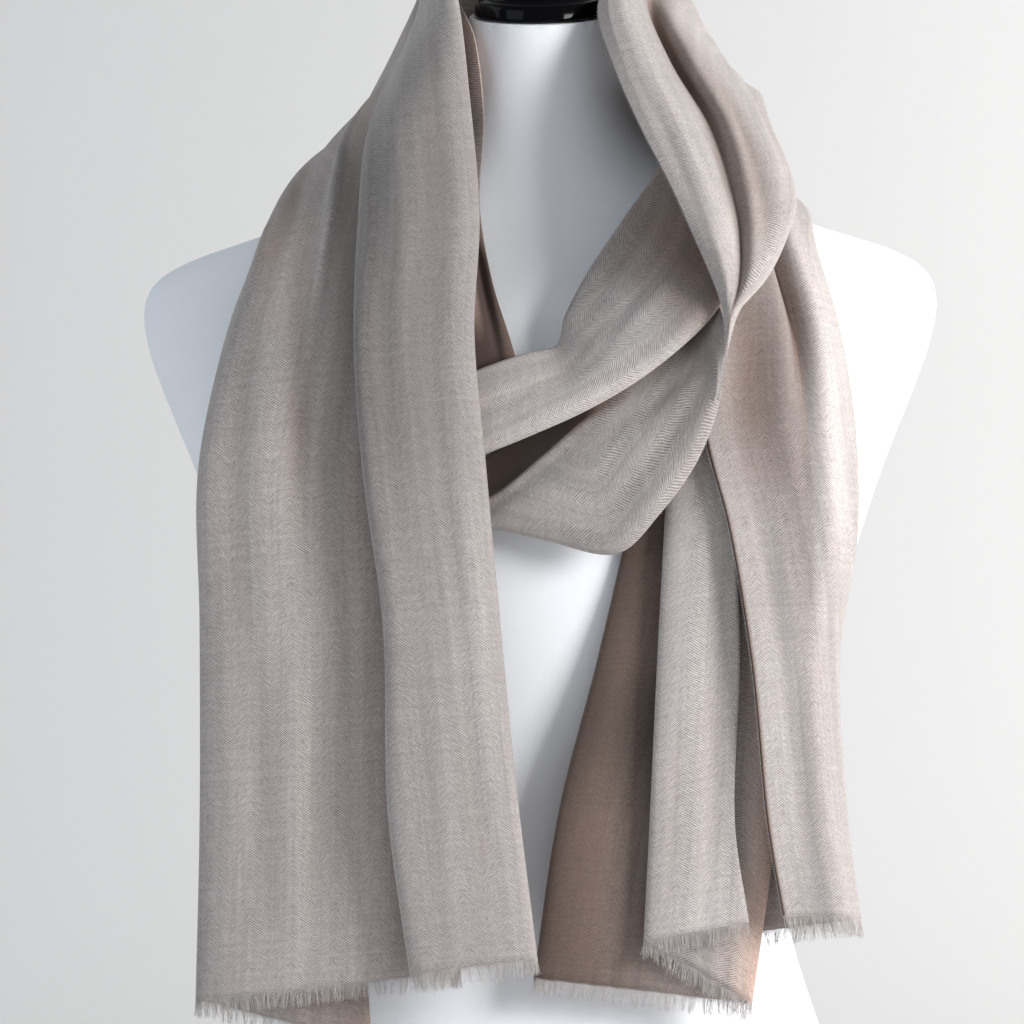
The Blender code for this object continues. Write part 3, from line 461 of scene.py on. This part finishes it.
def weave_places(cloth, anchors, hang):
    """Where each point lies on the flat cloth, in millimetres, straight along each anchor fold.

    anchors is a list of (fold, slip): the threads run along the fold, up to the slip line
    inside a pleat, where they jump. hang is how far the length is read along each thread,
    1 where the cloth hangs free and 0 where each row shares one length, or it names the
    two sections between which it grows from 0 to 1.
    """
    points = cloth["points"]
    travel = unit(np.gradient(points, axis=0))
    steps = np.diff(points, axis=1)
    between = unit(travel[:, 1:] + travel[:, :-1])
    aside = steps - between * np.sum(steps * between, axis=2, keepdims=True)
    reach = np.zeros(points.shape[:2])
    reach[:, 1:] = np.cumsum(np.linalg.norm(aside, axis=2), axis=1)
    down = np.zeros(points.shape[:2])
    down[1:] = np.cumsum(np.linalg.norm(np.diff(points, axis=0), axis=2), axis=0)
    down = down - down[-1:]
    shared = down.mean(axis=1, keepdims=True)
    loose = np.full((len(points), 1), 0.0 if isinstance(hang, tuple) else hang)
    if isinstance(hang, tuple):
        first, last = (cloth["sections"][section] for section in hang)
        loose[:, 0] = np.interp(range(len(points)), (first, last), (0.0, 1.0))
    weft = reach.copy()
    first = 0
    for fold, slip in anchors:
        column = cloth["folds"][fold]
        last = cloth["folds"][slip] if slip else points.shape[1]
        weft[:, first:last] = reach[:, first:last] - reach[:, column:column + 1] + reach[:, column].mean()
        first = last
    return np.stack((weft, shared + (down - shared) * loose), axis=2) / MM


def pick(piece):
    """Selects one piece and nothing else."""
    bpy.ops.object.select_all(action="DESELECT")
    piece.select_set(True)
    bpy.context.view_layer.objects.active = piece


def apply_modifiers(piece):
    """Applies every modifier of a piece."""
    pick(piece)
    for modifier in list(piece.modifiers):
        bpy.ops.object.modifier_apply(modifier=modifier.name)


def new_piece(name, mesh, material):
    """A piece with smooth faces, of a mesh and its material."""
    mesh.shade_smooth()
    mesh.materials.append(material)
    piece = bpy.data.objects.new(name, mesh)
    bpy.context.collection.objects.link(piece)
    return piece


def cloth_piece(name, cloth, anchors, hang, material):
    """The woven cloth as one smooth sheet of its own thickness."""
    points = cloth["points"]
    rows, columns = points.shape[:2]
    index = np.arange(rows * columns).reshape(rows, columns)
    quads = np.stack((index[:-1, :-1], index[:-1, 1:], index[1:, 1:], index[1:, :-1]), axis=-1).reshape(-1, 4)
    mesh = bpy.data.meshes.new(name)
    mesh.from_pydata(points.reshape(-1, 3), [], quads.tolist())
    corners = np.array([loop.vertex_index for loop in mesh.loops])
    layer = mesh.uv_layers.new(name="weave")
    layer.data.foreach_set("uv", weave_places(cloth, anchors, hang).reshape(-1, 2)[corners].ravel())
    # the painted brown shade and the painted grey shade and light, kept on the points for the material
    for tone in ("brown", "grey"):
        mesh.attributes.new(tone, "FLOAT", "POINT").data.foreach_set("value", cloth[tone].ravel())
    piece = new_piece(name, mesh, material)
    wall = piece.modifiers.new("cloth", "SOLIDIFY")
    wall.thickness = CLOTH * MM
    wall.offset = 0.0
    apply_modifiers(piece)
    return piece


# -------- yarn ends, in millimetres
YARN_SIDES = 3
YARN_TAPER = 0.55                  # share of its radius that a yarn loses up to its tip
CURL_PLACE = (0.37, 1.9, 3.1)      # where the noise is read for the curls
FRINGE_LENGTH = 8.2
FRINGE_STEP = 0.24                 # between the yarns of a fringe
FRINGE_RADIUS = 0.12
FRINGE_APART = 0.2                 # of every second yarn from the middle of the cloth
FRINGE_ROOT = 0.5                  # how deep in the cloth a yarn starts
FRINGE_DOWN = 0.8                  # how much a yarn goes on along the cloth
FRINGE_FALL = 0.35                 # how much it falls straight down
BUNCHES = 0.45                     # bunches of like length in a millimetre
BUNCH_LENGTH = 1.5                 # change of length from bunch to bunch
TUFTS = 0.6                        # tufts of leaning yarns in a millimetre
TUFT_LEAN = 0.55
YARN_LENGTH = 1.3                  # change of length from yarn to yarn
YARN_LEAN = 0.22
STRAY_EVERY = 37                   # one yarn of so many is a long stray
STRAY_FIRST = 5
STRAY_LEAN = 3.5                   # times a yarn's own lean
STRAY_LONGER = 1.15
FRAY_LENGTH = 1.1
FRAY_SHORTEST = 0.4                # share of the length that each stray end has
FRAY_LONGER = 1.7                  # share that noise adds to it at most
FRAY_LEAN = 1.1
FRAY_STEP = 0.42                   # between the stray ends of a selvedge
FRAY_RADIUS = 0.07


def strands_piece(name, roots, directions, lengths, thick, material, joints=4, curl=0.25, seed=0.0):
    """A row of fine tapered yarns: each a three-sided tube with a little curl."""
    points, faces = [], []
    u, v, w = CURL_PLACE
    for i, (root, direction, length) in enumerate(zip(roots, directions, lengths)):
        side = Vector(direction).orthogonal().normalized()
        other = Vector(direction).cross(side).normalized()
        bend = [noise.noise(Vector((i * u + seed, k * v, w))) * curl * length for k in (0, 1)]
        first = len(points)
        for joint in range(joints + 1):
            t = joint / joints
            curled = (side * bend[0] + other * bend[1]) * t * t
            centre = Vector(root) + Vector(direction) * length * t + curled
            radius = thick * (1.0 - YARN_TAPER * t)
            for corner in range(YARN_SIDES):
                angle = math.tau * corner / YARN_SIDES + i
                points.append(centre + (side * math.cos(angle) + other * math.sin(angle)) * radius)
        for joint in range(joints):
            ring = first + joint * YARN_SIDES
            for corner in range(YARN_SIDES):
                a, b = ring + corner, ring + (corner + 1) % YARN_SIDES
                faces.append((a, b, b + YARN_SIDES, a + YARN_SIDES))
        tip = first + joints * YARN_SIDES
        faces.append((tip, tip + 1, tip + 2))
        faces.append((first + 2, first + 1, first))
    mesh = bpy.data.meshes.new(name)
    mesh.from_pydata(points, [], faces)
    work = bmesh.new()
    work.from_mesh(mesh)
    bmesh.ops.recalc_face_normals(work, faces=work.faces)
    work.to_mesh(mesh)
    work.free()
    return new_piece(name, mesh, material)


def evenly(line, extra, step):
    """Points at equal steps along a line, with the matching rows of extra."""
    reach = np.concatenate(([0.0], np.cumsum(np.linalg.norm(np.diff(line, axis=0), axis=1))))
    places = np.arange(step / 2, reach[-1], step)
    on_line, on_extra = (np.stack([np.interp(places, reach, table[:, axis]) for axis in range(3)], axis=1)
                         for table in (line, extra))
    return on_line, unit(on_extra)


def fringe_piece(name, cloth, material):
    """Frayed warp ends along the last row, drawn together in small uneven bunches."""
    points = cloth["points"]
    roots, downs = evenly(points[-1], points[-1] - points[-3], FRINGE_STEP * MM)
    starts, lengths = [], []
    for i, down in enumerate(downs):
        place = i * FRINGE_STEP
        bunch = BUNCH_LENGTH * noise.noise(Vector((place * BUNCHES, 0.5, 0.5)))
        length = FRINGE_LENGTH + bunch + YARN_LENGTH * noise.noise(Vector((i * 1.7, 2.5, 0)))
        near = unit(roots[min(i + 1, len(roots) - 1)] - roots[max(i - 1, 0)])
        lean = YARN_LEAN * noise.noise(Vector((i * 2.3, 9.5, 0)))
        if i % STRAY_EVERY == STRAY_FIRST:
            lean *= STRAY_LEAN
            length *= STRAY_LONGER
        lean += TUFT_LEAN * noise.noise(Vector((place * TUFTS, 7.5, 0)))
        lengths.append(length * MM)
        downs[i] = down * FRINGE_DOWN + np.array([0, 0, -FRINGE_FALL]) + near * lean
        face = np.cross(near, downs[i]) * (-1)**i * FRINGE_APART
        starts.append(roots[i] + (face - downs[i] * FRINGE_ROOT) * MM)
    return strands_piece(name, starts, unit(downs), lengths, FRINGE_RADIUS * MM, material)


def fray_piece(name, cloth, fray, material, seed):
    """Short stray yarn ends along a stretch of one edge."""
    fold, inward, section_a, section_b = fray
    rows = slice(cloth["sections"][section_a], cloth["sections"][section_b] + 1)
    column = cloth["folds"][fold]
    edge = cloth["points"][rows, column]
    roots, outs = evenly(edge, edge - cloth["points"][rows, column + 2 * inward], FRAY_STEP * MM)
    lengths = []
    for i in range(len(outs)):
        longer = FRAY_LONGER * abs(noise.noise(Vector((i * 1.3, seed, 0))))
        lengths.append(MM * FRAY_LENGTH * (FRAY_SHORTEST + longer))
        near = roots[min(i + 1, len(roots) - 1)] - roots[max(i - 1, 0)]
        outs[i] = outs[i] + unit(near) * FRAY_LEAN * noise.noise(Vector((i * 0.9, seed, 4.0)))
    radius = FRAY_RADIUS * MM
    return strands_piece(name, roots, unit(outs), lengths, radius, material, joints=2, curl=0.5, seed=seed)


# -------- materials, the cloth's measured in millimetres over the weave
YARN_LIGHT = (0.562, 0.522, 0.512, 1.0)
YARN_DARK = (0.157, 0.135, 0.128, 1.0)
YARN_GREY = (0.35, 0.34, 0.335, 1.0)
BROWN_SHADE = (0.61, 0.46, 0.385, 1.0)
DEEP_SHADE = (0.055, 0.035, 0.03, 1.0)
BROWN_MOST = 0.9                   # share of the brown shade where an attribute of 1 asks for it
DEEP_FULL = 1.35                   # attribute at which the deep shade is full; it starts at 1
DEEP_MOST = 0.95
COLUMN = 9.8                       # width of a herringbone column, in millimetres
RIB = 1.12                         # spacing of the ribs down the cloth
RIB_SLOPE = 0.8
COLUMN_WANDER = 3.0                # how far a column strays sideways
RIB_WANDER = 2.5                   # how far a rib strays along the cloth
GREY_STRIPES = (0.42, 1.6, 0.35)   # where a stripe turns grey, how fast, and how much at most
# unevenness of the cloth: its stretch, its detail and roughness, and how much it counts
HEATHER = [
    ((0.11, 0.0035, 1), 3.0, 0.65, 0.7),     # warp stripes
    ((0.9, 0.006, 1), 2.0, 0.5, 0.22),       # single warp threads
    ((0.012, 0.55, 1), 3.0, 0.7, 0.32),      # weft slubs
    ((0.016, 0.011, 1), 2.0, 0.5, 0.22)]     # clouds
HEATHER_LEVEL = 1.02
WALES = 760.0                      # radians of stitch columns to a radian round the form
COURSE = 0.0008                    # height of a row of stitches, in metres


def new_material(name, settings):
    """A Principled material with its settings: the material, its tree and its shader."""
    material = bpy.data.materials.new(name)
    material.use_nodes = True
    surface = material.node_tree.nodes["Principled BSDF"]
    for socket, value in settings.items():
        surface.inputs[socket].default_value = value
    return material, material.node_tree, surface


def add_node(tree, kind, inputs=(), **settings):
    """A shader node with its settings; inputs are (socket, value or output)."""
    node = tree.nodes.new(kind)
    for name, value in settings.items():
        setattr(node, name, value)
    for socket, value in inputs:
        if isinstance(value, bpy.types.NodeSocket):
            tree.links.new(value, node.inputs[socket])
        else:
            node.inputs[socket].default_value = value
    return node


def maths(tree, operation, first, second=0.0, third=0.0):
    """The output of a maths node."""
    inputs = ((0, first), (1, second), (2, third))
    return add_node(tree, "ShaderNodeMath", inputs, operation=operation).outputs[0]


def swung(tree, level, texture, amount):
    """A level that a noise raises and lowers round its middle."""
    return maths(tree, "MULTIPLY_ADD", maths(tree, "SUBTRACT", texture, 0.5), amount, level)


def stretched_noise(tree, place, scale, detail=2.0, roughness=0.5):
    """Noise on a place vector stretched by a scale for each axis, from 0 to 1."""
    mapping = add_node(tree, "ShaderNodeMapping", (("Vector", place), ("Scale", scale)))
    inputs = (("Vector", mapping.outputs[0]), ("Scale", 1.0), ("Detail", detail), ("Roughness", roughness))
    return add_node(tree, "ShaderNodeTexNoise", inputs).outputs[0]


def blend_colour(tree, share, first, second, mode="MIX"):
    """The colour between two, by a share."""
    inputs = ((0, share), (6, first), (7, second))
    return add_node(tree, "ShaderNodeMix", inputs, data_type="RGBA", blend_type=mode).outputs[2]


def ramp(tree, value, start, end, most):
    """A value that goes from 0 to its most between a start and an end."""
    inputs = ((0, value), (1, start), (2, end), (3, 0.0), (4, most))
    return add_node(tree, "ShaderNodeMapRange", inputs).outputs[0]


def attribute(tree, name):
    """The value of a point attribute of the cloth."""
    return add_node(tree, "ShaderNodeAttribute", attribute_name=name).outputs["Fac"]


def twill(tree, place):
    """How light the yarns of the herringbone are at a place, and how high they stand."""
    sideways = stretched_noise(tree, place, (0.03, 0.012, 1), 1.0)
    lengthways = stretched_noise(tree, place, (0.08, 0.08, 1), 1.0)
    split = add_node(tree, "ShaderNodeSeparateXYZ", ((0, place),))
    weft = maths(tree, "ADD", split.outputs[0], maths(tree, "MULTIPLY", sideways, COLUMN_WANDER))
    warp = maths(tree, "ADD", split.outputs[1], maths(tree, "MULTIPLY", lengthways, RIB_WANDER))
    zigzag = maths(tree, "PINGPONG", weft, COLUMN)
    column = maths(tree, "FLOOR", maths(tree, "DIVIDE", weft, COLUMN))
    step = maths(tree, "MULTIPLY", column, 0.5 * RIB)
    slope = maths(tree, "MULTIPLY_ADD", zigzag, RIB_SLOPE, warp)
    phase = maths(tree, "DIVIDE", maths(tree, "ADD", slope, step), RIB)
    rib = maths(tree, "SINE", maths(tree, "MULTIPLY", phase, math.tau))
    yarn = stretched_noise(tree, place, (0.9, 1.6, 1), 3.0, 0.6)
    fluff = stretched_noise(tree, place, (2.6, 2.6, 1), 2.0, 0.6)
    on_rib = ((0, maths(tree, "MULTIPLY", zigzag, 0.28)), (1, phase))
    rib_place = add_node(tree, "ShaderNodeCombineXYZ", on_rib).outputs[0]
    streaks = stretched_noise(tree, rib_place, (1.0, 1.3, 1), 2.0, 0.6)
    clearness = maths(tree, "MULTIPLY", stretched_noise(tree, place, (0.35, 0.2, 1), 2.0), 0.56)
    level = maths(tree, "MULTIPLY_ADD", rib, clearness, 0.5)
    for texture, amount in ((streaks, 0.9), (yarn, 0.9), (fluff, 0.5)):
        level = swung(tree, level, texture, amount)
    nap = maths(tree, "MULTIPLY_ADD", rib, 0.35, maths(tree, "MULTIPLY", fluff, 0.5))
    return level, maths(tree, "MULTIPLY_ADD", yarn, 0.8, nap)


def heathered(tree, place, colour):
    """The colour with the stripes, slubs and clouds of uneven yarn, and the painted grey shade and light."""
    value = HEATHER_LEVEL
    for scale, detail, roughness, amount in HEATHER:
        value = swung(tree, value, stretched_noise(tree, place, scale, detail, roughness), amount)
    # painted grey shade from the grey attribute darkens the tone; where negative it is painted light
    value = maths(tree, "MULTIPLY", value, maths(tree, "SUBTRACT", 1.0, attribute(tree, "grey")))
    tone = add_node(tree, "ShaderNodeCombineColor", ((0, value), (1, value), (2, value))).outputs[0]
    colour = blend_colour(tree, 1.0, colour, tone, "MULTIPLY")
    start, speed, most = GREY_STRIPES
    stripes = maths(tree, "SUBTRACT", stretched_noise(tree, place, (0.07, 0.002, 1), 2.0), start)
    greyer = add_node(tree, "ShaderNodeClamp", ((0, maths(tree, "MULTIPLY", stripes, speed)),)).outputs[0]
    return blend_colour(tree, maths(tree, "MULTIPLY", greyer, most), colour, YARN_GREY)


def shaded(tree, colour):
    """The colour in the brown shade of the folds, and deep shade where they are closed."""
    shade = attribute(tree, "brown")
    browned = blend_colour(tree, 1.0, colour, BROWN_SHADE, "MULTIPLY")
    colour = blend_colour(tree, ramp(tree, shade, 0.0, 1.0, BROWN_MOST), colour, browned)
    return blend_colour(tree, ramp(tree, shade, 1.0, DEEP_FULL, DEEP_MOST), colour, DEEP_SHADE)


def pashmina_material():
    """Herringbone twill of heathered yarn: ribs, uneven warp stripes and fine weft slubs."""
    material, tree, surface = new_material("pashmina_twill", {
        "Base Color": YARN_GREY, "Roughness": 0.86, "Specular IOR Level": 0.25,
        "Sheen Weight": 0.35, "Sheen Roughness": 0.45, "Sheen Tint": (1.0, 0.95, 0.92, 1.0)})
    place = add_node(tree, "ShaderNodeUVMap", uv_map="weave").outputs[0]
    level, height = twill(tree, place)
    colour = heathered(tree, place, blend_colour(tree, level, YARN_DARK, YARN_LIGHT))
    # painted brown shade and painted deep shade of the folds, from the cloth's brown attribute
    tree.links.new(shaded(tree, colour), surface.inputs["Base Color"])
    relief = (("Height", height), ("Strength", 0.55), ("Distance", 0.00022))
    tree.links.new(add_node(tree, "ShaderNodeBump", relief).outputs[0], surface.inputs["Normal"])
    return material


def yarn_material():
    """Loose undyed-looking yarn ends, lighter than the cloth."""
    material, tree, surface = new_material("loose_yarn", {
        "Base Color": (0.62, 0.56, 0.53, 1.0), "Roughness": 0.9, "Sheen Weight": 0.3,
        "Specular IOR Level": 0.2})
    place = add_node(tree, "ShaderNodeTexCoord").outputs["Object"]
    tone = stretched_noise(tree, place, (900, 900, 250), 2.0, 0.6)
    colour = blend_colour(tree, tone, (0.44, 0.40, 0.38, 1.0), (0.76, 0.72, 0.70, 1.0))
    tree.links.new(colour, surface.inputs["Base Color"])
    return material


def jersey_material():
    """Fine white knit stretched over the form: tiny stitch rows and faint pilling."""
    material, tree, surface = new_material("white_jersey", {
        "Base Color": (0.83, 0.85, 0.89, 1.0), "Roughness": 0.78, "Sheen Weight": 0.15,
        "Specular IOR Level": 0.3})
    place = add_node(tree, "ShaderNodeTexCoord").outputs["Object"]
    split = add_node(tree, "ShaderNodeSeparateXYZ", ((0, place),))
    around = maths(tree, "ARCTAN2", split.outputs[0], split.outputs[1])
    wales = maths(tree, "SINE", maths(tree, "MULTIPLY", around, WALES))
    courses = maths(tree, "SINE", maths(tree, "MULTIPLY", split.outputs[2], math.tau / COURSE))
    knit = maths(tree, "MULTIPLY", wales, courses)
    pills = stretched_noise(tree, place, (1100, 1100, 1100), 3.0, 0.65)
    clouds = stretched_noise(tree, place, (14, 14, 9), 3.0)
    level = maths(tree, "MULTIPLY_ADD", pills, 0.5, maths(tree, "MULTIPLY_ADD", clouds, 0.35, 0.1))
    colour = blend_colour(tree, level, (0.76, 0.78, 0.83, 1.0), (0.90, 0.92, 0.95, 1.0))
    tree.links.new(colour, surface.inputs["Base Color"])
    height = maths(tree, "MULTIPLY_ADD", knit, 0.3, pills)
    relief = (("Height", height), ("Strength", 0.35), ("Distance", 0.0002))
    tree.links.new(add_node(tree, "ShaderNodeBump", relief).outputs[0], surface.inputs["Normal"])
    return material


def gloss_material():
    """Polished black plastic with faint rub marks."""
    material, tree, surface = new_material("black_gloss", {
        "Base Color": (0.001, 0.001, 0.001, 1.0), "Roughness": 0.12, "Specular IOR Level": 0.09})
    place = add_node(tree, "ShaderNodeTexCoord").outputs["Object"]
    rubs = stretched_noise(tree, place, (160, 160, 40), 4.0, 0.7)
    rough = maths(tree, "MULTIPLY_ADD", rubs, 0.12, 0.04)
    tree.links.new(rough, surface.inputs["Roughness"])
    colour = blend_colour(tree, rubs, (0.0005, 0.0005, 0.001, 1.0), (0.002, 0.002, 0.003, 1.0))
    tree.links.new(colour, surface.inputs["Base Color"])
    return material


# -------- the form
MERGE = 0.00001                    # metres within which the copy's loose corners are joined
QUAD_ANGLE = 60                    # triangles are paired within this many degrees
RIM_ANGLE = 48                     # edges turned more than this many degrees stay crisp
RIM_CREASE = 0.9
ROUNDING = 2                       # levels of rounding


def smooth_copy(node, name, material):
    """A rounded copy of a solid of the form, with the solid's own shape."""
    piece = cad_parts[node].copy()
    piece.data = piece.data.copy()
    piece.name = piece.data.name = name
    bpy.context.collection.objects.link(piece)
    piece.parent = None
    pick(piece)
    bpy.ops.object.mode_set(mode="EDIT")
    bpy.ops.mesh.select_all(action="SELECT")
    bpy.ops.mesh.remove_doubles(threshold=MERGE)
    paired = math.radians(QUAD_ANGLE)
    bpy.ops.mesh.tris_convert_to_quads(face_threshold=paired, shape_threshold=paired)
    bpy.ops.mesh.select_all(action="DESELECT")
    bpy.ops.mesh.select_mode(type="EDGE")
    bpy.ops.mesh.edges_select_sharp(sharpness=math.radians(RIM_ANGLE))
    bpy.ops.transform.edge_crease(value=RIM_CREASE)
    bpy.ops.object.mode_set(mode="OBJECT")
    rounding = piece.modifiers.new("rounding", "SUBSURF")
    rounding.levels = rounding.render_levels = ROUNDING
    apply_modifiers(piece)
    piece.data.materials.clear()
    piece.data.materials.append(material)
    piece.data.shade_smooth()
    return piece


def dress_form():
    """The form's jersey cover and gloss cap; returns the cover, which the cloth lies on."""
    cover = smooth_copy("form_torso", "torso_cover", jersey_material())
    cap = smooth_copy("neck_cap", "gloss_cap", gloss_material())
    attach(cover, "root")
    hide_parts("form_torso")
    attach(cap, "root")
    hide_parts("neck_cap")
    return cover


# -------- the set, in metres
SWEEP_WIDTH = 7.0
SWEEP_FRONT = -3.0
SWEEP_BEND = 1.0                   # where the floor starts to turn up
SWEEP_RADIUS = 0.6
SWEEP_STEPS = 15                   # faces round the bend
SWEEP_TOP = 3.2
PAPER = (0.742, 0.735, 0.729, 1.0)
# name, place, size, power, colour, what it points at
LAMPS = [
    ("window_right", (0.90, -0.70, 0.72), 0.42, 14.8, (1.0, 0.985, 0.97), (0.03, 0.0, 0.47)),
    ("fill_left", (-1.6, -1.6, 1.0), 1.2, 7.0, (0.80, 0.90, 1.0), (0.0, 0.0, 0.5)),
    ("side_left", (-1.9, 0.1, 1.3), 1.2, 6.0, (0.78, 0.90, 1.0), (-0.15, 0.0, 0.55)),
    ("sweep_right", (2.3, 0.3, 1.5), 1.2, 46.0, (1.0, 0.99, 0.98), (1.3, 1.6, 0.7))]
SKY_COLOUR = (0.95, 0.975, 1.0, 1.0)
SKY_STRENGTH = 0.37
LENS = 105.47
SENSOR = 36.0


def add_sweep():
    """A pale paper sweep: a floor that turns up into a wall behind the form."""
    bpy.ops.object.select_all(action="DESELECT")
    bpy.ops.mesh.primitive_plane_add(size=1, calc_uvs=False)
    sweep = bpy.context.object
    sweep.name = sweep.data.name = "sweep"
    sweep.location.y = (SWEEP_FRONT + SWEEP_BEND) / 2
    sweep.scale = (SWEEP_WIDTH, SWEEP_BEND - SWEEP_FRONT, 1)
    bpy.ops.object.transform_apply(location=True, rotation=True, scale=True)
    bpy.ops.object.mode_set(mode="EDIT")
    bpy.ops.mesh.select_mode(type="VERT")
    bpy.ops.mesh.select_all(action="DESELECT")
    bpy.ops.object.mode_set(mode="OBJECT")
    for corner in sweep.data.vertices:
        corner.select = corner.co.y > 0
    bpy.ops.object.mode_set(mode="EDIT")
    bpy.ops.mesh.spin(steps=SWEEP_STEPS, angle=math.radians(90), axis=(-1, 0, 0),
                      center=(0, SWEEP_BEND, SWEEP_RADIUS))
    bpy.ops.mesh.extrude_region_move(TRANSFORM_OT_translate={"value": (0, 0, SWEEP_TOP - SWEEP_RADIUS)})
    bpy.ops.object.mode_set(mode="OBJECT")
    paper, _, _ = new_material("pale_sweep", {"Base Color": PAPER, "Roughness": 0.9})
    sweep.data.materials.append(paper)
    sweep.data.shade_smooth()


def light_set():
    """Soft lamps and a pale sky."""
    for name, place, size, power, colour, aim in LAMPS:
        bpy.ops.object.light_add(type="AREA", location=place)
        lamp = bpy.context.object
        lamp.name = name
        lamp.data.size = size
        lamp.data.energy = power
        lamp.data.color = colour
        lamp.rotation_euler = (Vector(aim) - Vector(place)).to_track_quat("-Z", "Y").to_euler()
    world = bpy.data.worlds.new("studio")
    world.use_nodes = True
    background = world.node_tree.nodes["Background"]
    background.inputs[0].default_value = SKY_COLOUR
    background.inputs[1].default_value = SKY_STRENGTH
    bpy.context.scene.world = world


def add_camera():
    """The camera, which looks straight at the front from EYE."""
    bpy.ops.object.camera_add(location=Vector(EYE) * MM, rotation=(math.radians(90), 0, 0))
    camera = bpy.context.object
    camera.data.lens = LENS
    camera.data.sensor_width = SENSOR
    bpy.context.scene.camera = camera
    bpy.context.scene.view_settings.view_transform = "Standard"


# -------- the shawl
def drape_shawl(form):
    """The five sheets of the shawl, each with how it is woven, the nodes it replaces and its fray.

    The weave is given by its anchors and its hang, as weave_places() takes them. A fray is a
    fold line, the side of it on which the cloth lies, and the sections it runs between.
    """
    outer = drape(form, OUTER_FOLDS, ("crown", "outer"),
                  {**LAPEL, **NAPE_OUTER, **{"tail " + name: row for name, row in LEFT_TAIL.items()}},
                  OUTER_CREASES, OUTER_LIGHT_AND_SHADE)
    right = drape(form, RIGHT_FOLDS, ("side", "left"), RIGHT_TAIL, RIGHT_CREASES, RIGHT_LIGHT_AND_SHADE)
    inner = drape(form, INNER_FOLDS, ("edge", "foot"),
                  {**NAPE_INNER, **{"left " + name: row for name, row in LEFT_INNER.items()}},
                  INNER_CREASES, INNER_LIGHT_AND_SHADE)
    upper = drape(form, UPPER_FOLDS, ("top", "lip"), LOOP_UPPER, UPPER_CREASES, UPPER_LIGHT_AND_SHADE)
    lower = drape(form, LOWER_FOLDS, ("top", "bottom"), LOOP_LOWER, LOWER_CREASES, LOWER_LIGHT_AND_SHADE)
    return [
        ("outer_wrap", outer, [("crown", "tuck"), ("outer", None)], ("tail side", "tail throat"),
         ("shoulder_lapel", "nape_wrap_outer", "left_tail"),
         [("inner", 1, "point", "right side"), ("back", -1, "tail waist", "tail hem")]),
        ("right_end", right, [("selvedge", "rear"), ("left", "right"), ("middle", None)], 1.0,
         ("right_tail",), [("selvedge", 1, "chest", "hem")]),
        ("inner_wrap", inner, [("edge", None)], 0.0, ("nape_wrap_inner", "left_inner_wrap"), []),
        ("loop_upper_band", upper, [("lip", None)], 0.0, ("chest_loop_upper",), []),
        ("loop_lower_band", lower, [("bottom", None)], ("rise", "end"),
         ("chest_loop_lower",), [("bottom", -1, "rise", "end")])]


FRINGES = {"outer_wrap": "left_tail_fringe", "right_end": "right_tail_fringe"}


def main():
    """Dresses the form, drapes the shawl over it and sets up the sweep, lamps and camera."""
    twill_cloth = pashmina_material()
    yarn = yarn_material()
    cover = dress_form()
    form = BVHTree.FromObject(cover, bpy.context.evaluated_depsgraph_get())
    for name, cloth, anchors, hang, nodes, frays in drape_shawl(form):
        piece = cloth_piece(name, cloth, anchors, hang, twill_cloth)
        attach(piece, "root")
        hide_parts(*nodes)
        trims = [fray_piece(name + "_fray_" + fray[0], cloth, fray, yarn, 1.0 + 4.0 * i)
                 for i, fray in enumerate(frays)]
        if name in FRINGES:
            trims.append(fringe_piece(name + "_fringe", cloth, yarn))
            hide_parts(FRINGES[name])
        for trim in trims:
            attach(trim, "root")
    add_sweep()
    light_set()
    add_camera()


main()
